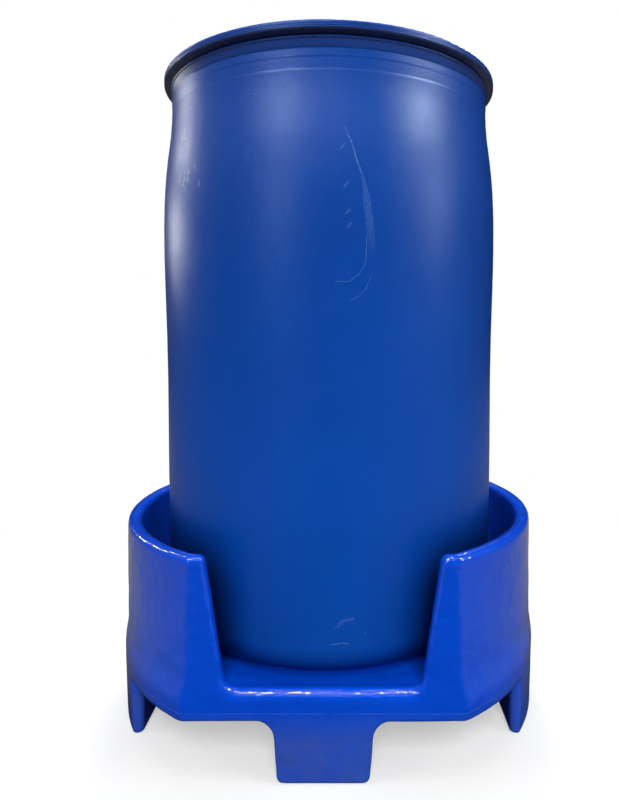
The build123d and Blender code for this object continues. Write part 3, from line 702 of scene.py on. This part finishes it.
def keep_outer_skin(bm, hole_x, hole_y, hole_top):
    """Closes the moulding's air hole and drops the air space's own surface."""
    near = []
    for face in bm.faces:
        c = face.calc_center_median()
        if math.hypot(c.x - hole_x, c.y - hole_y) < AIR_HOLE_R and c.z < hole_top:
            near.append(face)
    bmesh.ops.delete(bm, geom=near, context="FACES")
    skin = connected(max(bm.verts, key=lambda v: v.co.z))
    bmesh.ops.delete(bm, geom=[v for v in bm.verts if v not in skin], context="VERTS")
    open_edges = [e for e in bm.edges if e.is_boundary]
    bmesh.ops.holes_fill(bm, edges=open_edges, sides=0)


def soften(obj):
    """Rebuilds the mesh on a fine even grid and rounds its edges a little."""
    remesh = obj.modifiers.new("voxels", "REMESH")
    remesh.mode = "VOXEL"
    remesh.voxel_size = VOXEL
    smooth = obj.modifiers.new("soften", "SMOOTH")
    smooth.factor = 0.5
    smooth.iterations = 3
    apply_modifiers(obj)


def wave_field(points, seed, count, shortest, longest, height):
    """Smooth pseudo-random heights at the given points, about the given height either way."""
    rng = np.random.default_rng(seed)
    total = np.zeros(len(points))
    for _ in range(count):
        direction = rng.normal(size=3)
        direction /= np.linalg.norm(direction)
        length = rng.uniform(shortest, longest)
        phase = rng.uniform(0, 2 * math.pi)
        total += np.sin(points @ direction * (2 * math.pi / length) + phase)
    return total / math.sqrt(count) * height


def make_uneven(mesh):
    """Moves the surface in and out in slow waves, but not under the feet. Returns the new points."""
    points = np.empty(len(mesh.vertices) * 3, np.float32)
    normals = np.empty(len(mesh.vertices) * 3, np.float32)
    mesh.vertices.foreach_get("co", points)
    mesh.vertex_normals.foreach_get("vector", normals)
    points = points.reshape(-1, 3)
    normals = normals.reshape(-1, 3)
    above_feet = np.clip((points[:, 2] - FLAT_FEET) / WAVE_GROWTH, 0, 1)
    height = (wave_field(points, *SWAY) + wave_field(points, *RIPPLE)) * above_feet
    points = points + normals * height[:, None]
    mesh.vertices.foreach_set("co", points.ravel())
    mesh.update()
    return points


def round_lips(obj, points):
    """Rounds the upper edges of the front and the back lip."""
    low, high = LIP_STRIP
    lip = (np.abs(points[:, 0]) < LIP_HALF_X) & (np.abs(points[:, 1]) > LIP_MIN_Y)
    lip &= (points[:, 2] > LIP_Z + low) & (points[:, 2] < LIP_Z + high)
    group = obj.vertex_groups.new(name="lips")
    group.add(np.flatnonzero(lip).tolist(), 1.0, "REPLACE")
    round_off = obj.modifiers.new("round_lips", "SMOOTH")
    round_off.vertex_group = group.name
    round_off.factor = 0.5
    round_off.iterations = 14
    apply_modifiers(obj)


def make_trough():
    """The moulded trough with slightly uneven walls and soft edges."""
    bm = cad_copy("trough_stand")
    vent_low, vent_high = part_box("moulding_vent_plug")
    vent = (vent_low + vent_high) / 2
    keep_outer_skin(bm, vent.x, vent.y, vent_high.z + AIR_HOLE_RISE)
    trough = new_object("trough_moulding", bm, "stand")
    soften(trough)
    points = make_uneven(trough.data)
    round_lips(trough, points)
    trough.data.shade_smooth()
    give(trough, "trough_plastic", replaced="trough_stand")


# ---- screw closures
# Parts of half a pitch: the flat valley of a thread, and the slope up to its crest.
THREAD_VALLEY = 0.45
THREAD_SLOPE = 0.3


def ridge(z, angle, low, high, pitch, shift):
    """Height, 0 to 1, of a right-handed thread's ridge that fades at both ends."""
    turns = (z - low) / pitch - angle / (2 * math.pi) + shift
    across = abs((turns % 1.0) * 2 - 1)
    full = min(1.0, max(0.0, (across - THREAD_VALLEY) / THREAD_SLOPE))
    ends = min(1.0, max(0.0, (z - low) / pitch), max(0.0, (high - z) / pitch))
    return full * ends


def thread(base, height, low, high, pitch, shift=0.0):
    """A lathe shape: adds a thread to the outline points that lie at radius base."""
    def shape(r, z, angle):
        if abs(r - base) > SAME_PLACE or not low <= z <= high:
            return r
        return r + height * ridge(z, angle, low, high, pitch, shift)
    return shape


def hexagonal(flats, low, high):
    """A lathe shape: trims the outline to a hexagon with a corner at the front, between two heights."""
    def shape(r, z, angle):
        if not low <= z <= high:
            return r
        turn = angle % (math.pi / 3) - math.pi / 6
        return min(r, flats / 2 / math.cos(turn))
    return shape


def ribbed(radius, low, high, count, depth):
    """A lathe shape: shallow grip ribs on the outline points past a radius."""
    def shape(r, z, angle):
        if r < radius or not low <= z <= high:
            return r
        return r - depth * (0.5 - 0.5 * math.cos(count * angle))
    return shape


def both(*shapes):
    """Applies several lathe shapes one after another."""
    def shape(r, z, angle):
        for step in shapes:
            r = step(r, z, angle)
        return r
    return shape


def rows(radius, low, high, pitch, per_pitch=8):
    """Upright outline points close enough together for a thread."""
    count = max(2, round((high - low) / pitch * per_pitch))
    return [(radius, low + (high - low) * k / count) for k in range(count + 1)]


def bar(length, width, low, high, x, y, turn, soft=0.8 * MM):
    """An upright rectangular bar with rounded edges, as a tool for booleans."""
    bm = bmesh.new()
    bmesh.ops.create_cube(bm, size=1.0)
    for vert in bm.verts:
        vert.co = Vector((vert.co.x * length, vert.co.y * width, vert.co.z * (high - low)))
    bmesh.ops.bevel(bm, geom=bm.edges[:], offset=soft, segments=3, profile=0.5, affect="EDGES")
    bmesh.ops.rotate(bm, verts=bm.verts, matrix=Matrix.Rotation(turn, 3, "Z"))
    bmesh.ops.translate(bm, verts=bm.verts, vec=(x, y, (low + high) / 2))
    return new_object("tool", bm, None)


def drill(radius, length, x, z, turn):
    """A level rod through the axis at x, as a tool for booleans."""
    bm = bmesh.new()
    bmesh.ops.create_cone(bm, cap_ends=True, segments=20, radius1=radius, radius2=radius, depth=length)
    bmesh.ops.rotate(bm, verts=bm.verts, matrix=Matrix.Rotation(math.pi / 2, 3, "X"))
    bmesh.ops.rotate(bm, verts=bm.verts, matrix=Matrix.Rotation(turn, 3, "Z"))
    bmesh.ops.translate(bm, verts=bm.verts, vec=(x, 0, z))
    return new_object("tool", bm, None)


# Each kind of thread: its pitch, its depth, and the bare stretch at either end.
COARSE_PITCH = 4.0 * MM
COARSE_DEPTH = 1.5 * MM
COARSE_LEAD = 1.5 * MM
PIPE_PITCH = 25.4 / 11.5 * MM
PIPE_DEPTH = 1.1 * MM
PIPE_LEAD = 1.2 * MM
SMALL_PITCH = 25.4 / 14 * MM
SMALL_DEPTH = 1.0 * MM
SMALL_LEAD = 1 * MM
SMALL_CREST = 13.1 * MM
SMALL_BORE = 13.2 * MM
SMALL_BORE_DEPTH = 0.8 * MM
CHAMFER = 0.8 * MM
# Two threads that run in each other are half a turn apart.
HALF_TURN = 0.5

# Sizes that the two bungs share.
FLANGE_REACH = 8 * MM  # from the collar's bore to the rim of the bung's flange
SHANK = 24 * MM  # from the lower end to the underside of the flange
POCKET = 18 * MM  # depth of the pocket below the underside of the flange
POCKET_WALL = 6 * MM  # from the collar's bore in to the pocket
CREST_GAP = 0.1 * MM  # play between the thread's crest and the collar's bore
RIBS = 36
RIB_DEPTH = 0.5 * MM
RIB_SKIN = 0.3 * MM  # ribs start this far inside the rim
LUG_WIDTH = 5 * MM

# Sizes of the vent plug, and of the threaded hub around it in the pipe bung.
HUB_WALL = 5 * MM
HUB_LEAD = 0.8 * MM
VENT_HEAD = 7 * MM
VENT_DUCT_R = 5 * MM
VENT_DUCT_RISE = 3.5 * MM  # how far the duct reaches up into the head
VENT_DRILL_R = 1.2 * MM
VENT_DRILL_RISE = 2.2 * MM
VENT_DRILL_LENGTH = 40 * MM
# The upper edge of the vent plug's head, in mm in from its corner and down from its top.
VENT_HEAD_EDGE = ((0, 1.6), (0.7, 1.0), (1.4, 0.5), (2.2, 0.1), (2.8, 0))


class BungSizes:
    """Radii and heights that both bungs derive from their CAD boxes."""

    def __init__(self, name, depth, lead):
        low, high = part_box(name)
        self.low, self.top = low.z, high.z
        self.rim = (high.x - low.x) / 2
        self.bore = self.rim - FLANGE_REACH
        self.under = low.z + SHANK
        self.floor = self.under - POCKET
        self.root = self.bore - CREST_GAP - depth
        self.start = low.z + lead
        self.stop = self.under - lead

    def flange(self):
        """Outline corners of the flange, up to the mouth of the pocket."""
        return [
            (self.root, self.under, 0),
            (self.rim, self.under, 0.8 * MM),
            (self.rim, self.top, 2.2 * MM),
            (self.bore - POCKET_WALL, self.top, 1.6 * MM),
        ]

    def ribs(self):
        """The lathe shape of the grip ribs on the flange's rim."""
        return ribbed(self.rim - RIB_SKIN, self.under, self.top, RIBS, RIB_DEPTH)


def make_fill_bung():
    """Big filling closure: ribbed flange, crossed wrench lugs, coarse thread."""
    b = BungSizes("fill_bung", COARSE_DEPTH, COARSE_LEAD)
    outline = [(0, b.low), (b.root - 1 * MM, b.low)]
    outline += rows(b.root, b.start, b.stop, COARSE_PITCH)
    outline += [(b.root, b.under)]
    pocket = [(b.bore - 6.4 * MM, b.floor, 2.0 * MM), (0, b.floor, 0)]
    outline += rounded(b.flange() + pocket)[1:]
    shape = both(thread(b.root, COARSE_DEPTH, b.start, b.stop, COARSE_PITCH), b.ribs())
    bm = lathe(outline, 144, FILL_X, shape=shape)
    bung = new_object("fill_bung_moulding", bm, "fill_bung")
    length = 2 * b.bore - 12.6 * MM
    lugs = []
    for turn in (0, math.pi / 2):
        lugs.append(bar(length, LUG_WIDTH, b.floor - 0.5 * MM, b.floor + 12 * MM, FILL_X, 0, turn))
    boolean(bung, lugs, "UNION")
    give(bung, "closure_plastic", replaced="fill_bung")


def make_pipe_bung():
    """Smaller closure with a threaded centre hole for the vent plug."""
    b = BungSizes("pipe_bung", PIPE_DEPTH, PIPE_LEAD)
    hole = SMALL_BORE
    hub = hole + HUB_WALL
    hole_start, hole_stop = b.low + HUB_LEAD, b.top - 1.8 * MM
    outline = [(hole + CHAMFER, b.low), (b.root - CHAMFER, b.low)]
    outline += rows(b.root, b.start, b.stop, PIPE_PITCH)
    outline += [(b.root, b.under)]
    pocket = [
        (b.bore - 6.4 * MM, b.floor, 1.5 * MM),
        (hub, b.floor, 1.0 * MM),
        (hub - 0.2 * MM, b.top - 1 * MM, 0.8 * MM),
        (hole + CHAMFER, b.top - 1 * MM, 0),
    ]
    outline += rounded(b.flange() + pocket)[1:]
    outline += rows(hole, hole_start, hole_stop, SMALL_PITCH, per_pitch=7)[::-1]
    shape = both(
        thread(b.root, PIPE_DEPTH, b.start, b.stop, PIPE_PITCH),
        thread(hole, -SMALL_BORE_DEPTH, hole_start, hole_stop, SMALL_PITCH),
        b.ribs(),
    )
    bm = lathe(outline, 144, PIPE_X, closed=True, shape=shape)
    bung = new_object("pipe_bung_moulding", bm, "pipe_bung")
    gap = b.bore - POCKET_WALL - hub
    middle = hub + gap / 2
    lugs = []
    for k in range(4):
        turn = k * math.pi / 2
        x, y = PIPE_X + middle * math.cos(turn), middle * math.sin(turn)
        lugs.append(bar(gap + 1.4 * MM, LUG_WIDTH, b.floor - 0.5 * MM, b.floor + 12 * MM, x, y, turn))
    boolean(bung, lugs, "UNION")
    give(bung, "closure_plastic", replaced="pipe_bung")


def make_vent_plug():
    """Hexagonal vent plug with cross drillings under its head."""
    low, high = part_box("vent_plug")
    top = high.z
    under = top - VENT_HEAD
    root = SMALL_CREST - SMALL_DEPTH
    flats = high.y - low.y
    corner = flats / math.sqrt(3)
    start, stop = low.z + SMALL_LEAD, under - SMALL_LEAD
    meshing = HALF_TURN + (start - (pipe_low.z + HUB_LEAD)) / SMALL_PITCH
    duct_top = under + VENT_DUCT_RISE
    outline = [(0, duct_top), (VENT_DUCT_R, duct_top), (VENT_DUCT_R, low.z)]
    outline += [(root - CHAMFER, low.z)] + rows(root, start, stop, SMALL_PITCH) + [(root, under)]
    outline += [(corner - 0.5 * MM, under), (corner, under + 0.3 * MM)]
    outline += [(corner - inset * MM, top - drop * MM) for inset, drop in VENT_HEAD_EDGE]
    outline += [(7 * MM, top), (6.4 * MM, top - 0.7 * MM), (0, top - 0.7 * MM)]
    shape = both(
        thread(root, SMALL_DEPTH, start, stop, SMALL_PITCH, meshing),
        hexagonal(flats, under - SAME_PLACE, top),
    )
    plug = new_object("vent_plug_turned", lathe(outline, 144, PIPE_X, shape=shape), "vent_plug")
    drills = []
    for turn in (0, math.pi / 2):
        drills.append(drill(VENT_DRILL_R, VENT_DRILL_LENGTH, PIPE_X, under + VENT_DRILL_RISE, turn))
    boolean(plug, drills, "DIFFERENCE")
    give(plug, "vent_plastic", replaced="vent_plug")


DRAIN_SHANK = 16 * MM
DRAIN_HEAD = 5 * MM
GRIP_LENGTH = 38 * MM
GRIP_WIDTH = 6 * MM


def make_drain_plug():
    """Threaded plug under the float well with a ribbed head and a grip bar."""
    low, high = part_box("drain_plug")
    under = high.z - DRAIN_SHANK
    head = under - DRAIN_HEAD
    rim = (high.y - low.y) / 2
    root = SMALL_CREST - SMALL_DEPTH
    start, stop = under + SMALL_LEAD, high.z - SMALL_LEAD
    outline = rounded([
        (0, head, 0),
        (rim, head, 1.8 * MM),
        (rim, under, 0.6 * MM),
        (root, under, 0),
    ])
    outline += rows(root, start, stop, SMALL_PITCH)
    outline += [(root - CHAMFER, high.z), (0, high.z)]
    shape = both(
        thread(root, SMALL_DEPTH, start, stop, SMALL_PITCH),
        ribbed(rim - RIB_SKIN, head, under, 30, 0.6 * MM),
    )
    plug = new_object("drain_plug_moulding", lathe(outline, 120, shape=shape), "drain_plug")
    grip = bar(GRIP_LENGTH, GRIP_WIDTH, low.z, head + 1 * MM, 0, 0, 0, soft=2.0 * MM)
    boolean(plug, [grip], "UNION")
    give(plug, "fitting_plastic", replaced="drain_plug")


def make_collar_thread(name, body, finish, x, bore, low, top, depth, pitch, start):
    """A collar's own thread, which the thread that starts at the given height runs in."""
    crown = top - 1.0 * MM
    outline = rows(bore, low, crown, pitch)
    outline += [(bore + 0.3 * MM, top - 0.8 * MM), (bore + 0.6 * MM, low)]
    shift = HALF_TURN + (low - start) / pitch
    shape = thread(bore, -depth, low, crown, pitch, shift)
    sleeve = new_object(name, lathe(outline, 144, x, closed=True, shape=shape), body)
    give(sleeve, finish)


# ---- outlet
OUTLET_CREST = 16.9 * MM
OUTLET_FLANGE = 7 * MM
OUTLET_FLANGE_R = 30 * MM
OUTLET_BORE = 9 * MM
OUTLET_SOCKET = 12 * MM
OUTLET_SOCKET_DEPTH = 17 * MM
# One end of the nut from its bore to its corners, in mm: radius, and depth below the end's face.
NUT_EDGE = ((17, 0.8), (17.8, 0), (22.6, 0), (24.4, 0.6), (25.6, 1.6))


def make_outlet_fitting():
    """Through-wall fitting under the drum: flange inside, threaded shank outside."""
    low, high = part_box("outlet_fitting")
    flange = high.z - OUTLET_FLANGE
    root = OUTLET_CREST - SMALL_DEPTH
    start, stop = low.z + SMALL_LEAD, flange - SMALL_LEAD
    shoulder = low.z + OUTLET_SOCKET_DEPTH
    outline = [(OUTLET_SOCKET, low.z), (root - CHAMFER, low.z)]
    outline += rows(root, start, stop, PIPE_PITCH, per_pitch=7)
    outline += rounded([
        (root, flange, 0),
        (OUTLET_FLANGE_R, flange, 0.6 * MM),
        (OUTLET_FLANGE_R, high.z, 2.2 * MM),
        (OUTLET_BORE, high.z, 1.5 * MM),
        (OUTLET_BORE, shoulder, 0),
    ])
    outline += [(OUTLET_SOCKET, shoulder)]
    shape = thread(root, SMALL_DEPTH, start, stop, PIPE_PITCH)
    bm = lathe(outline, 120, closed=True, shape=shape)
    fitting = new_object("outlet_fitting_turned", bm, "drum")
    give(fitting, "fitting_plastic", replaced="outlet_fitting")


def make_outlet_nut():
    """Chamfered hexagon nut that clamps the fitting."""
    low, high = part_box("outlet_nut")
    outline = [(r * MM, low.z + depth * MM) for r, depth in NUT_EDGE]
    outline += [(r * MM, high.z - depth * MM) for r, depth in reversed(NUT_EDGE)]
    shape = hexagonal(high.y - low.y, low.z - SAME_PLACE, high.z + SAME_PLACE)
    bm = lathe(outline, 144, closed=True, shape=shape)
    nut = new_object("outlet_nut_moulding", bm, "drum")
    give(nut, "fitting_plastic", replaced="outlet_nut")


make_trough()
make_fill_bung()
make_pipe_bung()
make_vent_plug()
make_drain_plug()
make_outlet_fitting()
make_outlet_nut()

COLLAR_TOP = DRUM_TOP - 22 * MM
COLLAR_LENGTH = 20 * MM
# Name, x of the middle, corners of the bung's CAD box, and the thread's depth, pitch and lead.
COLLARS = (
    ("fill_collar_thread", FILL_X, fill_low, fill_high, 1.2 * MM, COARSE_PITCH, COARSE_LEAD),
    ("pipe_collar_thread", PIPE_X, pipe_low, pipe_high, 0.9 * MM, PIPE_PITCH, PIPE_LEAD),
)
for name, x, low, high, depth, pitch, lead in COLLARS:
    make_collar_thread(
        name, "drum", "drum_plastic", x=x, bore=(high.x - low.x) / 2 - FLANGE_REACH,
        low=COLLAR_TOP - COLLAR_LENGTH, top=COLLAR_TOP, depth=depth, pitch=pitch, start=low.z + lead,
    )
drain_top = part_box("drain_plug")[1].z
make_collar_thread(
    "drain_boss_thread", "stand", "trough_plastic",
    x=0.0, bore=SMALL_BORE, low=drain_top - 14 * MM, top=drain_top,
    depth=SMALL_BORE_DEPTH, pitch=SMALL_PITCH, start=drain_top - DRAIN_SHANK + SMALL_LEAD,
)


# ---- edges of the CAD pieces
EDGE_BEVEL = 0.3 * MM
EDGE_ANGLE = math.radians(40)

# The drum's own edges are rounded in the CAD already.
for name, obj in nodes.items():
    if name == "drum_shell" or name in hidden_nodes:
        continue
    edge = obj.modifiers.new("soft_edges", "BEVEL")
    edge.width = EDGE_BEVEL
    edge.segments = 2
    edge.angle_limit = EDGE_ANGLE


# ---- camera and light
CAMERA_PLACE = (0.0441, -1.1665, 0.6466)
CAMERA_DIP = 0.0337  # radians below level
CAMERA_LENS = 28.18  # mm, on a sensor 36 mm wide
CAMERA_SHIFT = (-0.0560, -0.0649)


def add_camera():
    """The photo's view: close in front, a little above the drum's middle and tipped slightly down."""
    data = bpy.data.cameras.new("camera")
    data.sensor_width = 36.0
    data.lens = CAMERA_LENS
    data.shift_x, data.shift_y = CAMERA_SHIFT
    data.clip_start = 0.01
    camera = bpy.data.objects.new("camera", data)
    camera.location = CAMERA_PLACE
    camera.rotation_euler = (math.radians(90) - CAMERA_DIP, 0.0, 0.0)
    bpy.context.scene.collection.objects.link(camera)
    bpy.context.scene.camera = camera


LAMP_AIM = Vector((0, 0, 0.9))
SHEEN_DISTANCE = 3.0

# Small lamps that show only as sheen on the walls and as thin lines on rounded edges.
# Name, azimuth, elevation, width, height, power. Azimuth 0 is the front, positive to the right.
SHEENS = (
    ("key_left", -32, 38, 0.9, 0.4, 50),
    ("key_left_low", -30, 12, 0.4, 0.4, 9),
    ("front_strip", -3, 34, 1.8, 0.08, 4),
    ("right", 72, 38, 0.7, 0.4, 112),
    ("right_low", 72, 12, 0.4, 0.4, 14),
    ("left_back_high", -118, 36, 0.3, 0.3, 8),
    ("left_back", -112, 20, 0.3, 0.3, 11),
    ("left_back_low", -116, 6, 0.3, 0.3, 10),
    ("rim_right", 26, 68, 0.35, 0.35, 26),
    ("rim_left", -26, 66, 0.35, 0.35, 16),
    ("lip_strip", 0, 60, 2.4, 0.06, 14),
    ("back_left", -158, 38, 0.4, 0.4, 26),
    ("back_right", 150, 38, 0.4, 0.4, 20),
)
# These are bluer than the rest, because the photo's broad sheens are.
COOL_LAMPS = ("key_left", "key_left_low", "front_strip", "right", "right_low")
COOL_LIGHT = (0.70, 0.85, 1.0)

# Broad soft light that shades the object without being mirrored in it.
# Name, azimuth, elevation, distance, width, height, power.
FILLS = (
    ("front_fill", 4, 35, 8.0, 3.3, 2.9, 570),
    ("side_fill", 68, 28, 4.0, 2.0, 2.0, 50),
    ("left_fill", -75, 30, 4.0, 2.0, 2.0, 34),
    ("top", 0, 88, 2.6, 2.4, 2.4, 36),
    ("back_fill", 180, 32, 5.0, 2.4, 2.0, 190),
)


def add_softbox(name, azimuth, elevation, distance, width, height, power, color=WHITE):
    """An area light aimed at the upper half of the drum."""
    data = bpy.data.lights.new(name, "AREA")
    data.shape = "RECTANGLE"
    data.size = width
    data.size_y = height
    data.energy = power
    data.color = color
    light = bpy.data.objects.new(name, data)
    a, e = math.radians(azimuth), math.radians(elevation)
    offset = Vector((math.sin(a) * math.cos(e), -math.cos(a) * math.cos(e), math.sin(e)))
    light.location = LAMP_AIM + offset * distance
    light.rotation_euler = offset.to_track_quat("Z", "Y").to_euler()
    bpy.context.scene.collection.objects.link(light)
    return light


def add_lamps():
    """All the sheen lamps and fills."""
    for name, azimuth, elevation, width, height, power in SHEENS:
        color = COOL_LIGHT if name in COOL_LAMPS else WHITE
        lamp = add_softbox(name, azimuth, elevation, SHEEN_DISTANCE, width, height, power, color)
        lamp.visible_diffuse = False
    for fill in FILLS:
        add_softbox(*fill).visible_glossy = False


# How bright the surroundings are to diffuse light, and mirrored ahead and at the sides.
WORLD_DIFFUSE = 0.12
WORLD_GLOSSY = 0.004
WORLD_SIDE_GLOSSY = 0.12
# The sides begin where a direction's x is the first of these.
WORLD_SIDE_X = (0.6, 1.0)


def add_world():
    """White to the camera, dim to diffuse light and nearly dark in reflections, except at the sides."""
    world = bpy.data.worlds.new("studio")
    bpy.context.scene.world = world
    world.use_nodes = True
    w = Nodes(world.node_tree)
    path = w.node("ShaderNodeLightPath")
    direction = w.node("ShaderNodeTexCoord").outputs["Generated"]
    sideways = w.math("ABSOLUTE", w.part(direction, "X"))
    mirrored = w.ramp(sideways, *WORLD_SIDE_X, WORLD_GLOSSY, WORLD_SIDE_GLOSSY)
    glossy = w.blend(path.outputs["Is Glossy Ray"], WORLD_DIFFUSE, mirrored)
    background = w.tree.nodes["Background"]
    w.set(background.inputs["Color"], (*WHITE, 1))
    w.set(background.inputs["Strength"], w.blend(path.outputs["Is Camera Ray"], glossy, 1.0))


FLOOR_R = 12.0
FLOOR_DROP = 0.5 * MM  # keeps the floor clear of the feet
# How pale the floor is to the camera, to diffuse light, and mirrored in front and at the sides.
FLOOR_SEEN = 0.92
FLOOR_BOUNCE = 0.11
FLOOR_MIRRORED = 0.01
FLOOR_SIDE_MIRRORED = 0.17
FLOOR_SIDE_X = (0.32, 0.65)
# The floor glows white to the camera, by these parts at these distances from its middle.
FLOOR_FADE_R = (0.3, 1.3)
FLOOR_FADE = (0.45, 1.0)


def floor_paint():
    """Pale paint that turns white away from the object and looks dim in reflections."""
    s = Shader("floor_paint")
    path = s.node("ShaderNodeLightPath")
    to_camera = path.outputs["Is Camera Ray"]
    aside = s.math("ABSOLUTE", s.axis("X"))
    mirrored = s.ramp(aside, *FLOOR_SIDE_X, FLOOR_MIRRORED, FLOOR_SIDE_MIRRORED)
    shade = s.blend(path.outputs["Is Glossy Ray"], FLOOR_BOUNCE, mirrored)
    shade = s.blend(to_camera, shade, FLOOR_SEEN)
    grain = s.ramp(s.noise(scale=30.0, detail=4.0), 0.3, 0.7, 0.985, 1.0)
    shade = s.times(shade, grain)
    grey = s.node("ShaderNodeCombineColor")
    for channel in grey.inputs:
        s.set(channel, shade)
    s.put(Base_Color=grey.outputs[0], Roughness=0.9, Specular_IOR_Level=0.1)
    away = s.vector("LENGTH", s.place, out="Value")
    glow = s.times(s.ramp(away, *FLOOR_FADE_R, *FLOOR_FADE), to_camera)
    mixed = s.node("ShaderNodeMixShader")
    white = s.node("ShaderNodeEmission", Strength=1.0)
    for socket, value in zip(mixed.inputs, (glow, s.bsdf.outputs[0], white.outputs[0])):
        s.set(socket, value)
    s.set(s.surface, mixed.outputs[0])
    return s.material


def add_floor():
    """A wide round floor just under the feet."""
    bm = bmesh.new()
    bmesh.ops.create_circle(bm, cap_ends=True, segments=96, radius=FLOOR_R)
    floor = new_object("floor", bm, None)
    floor.location.z = GROUND - FLOOR_DROP
    floor.data.materials.append(floor_paint())


add_camera()
add_world()
add_floor()
add_lamps()
bpy.context.scene.view_settings.view_transform = "Standard"
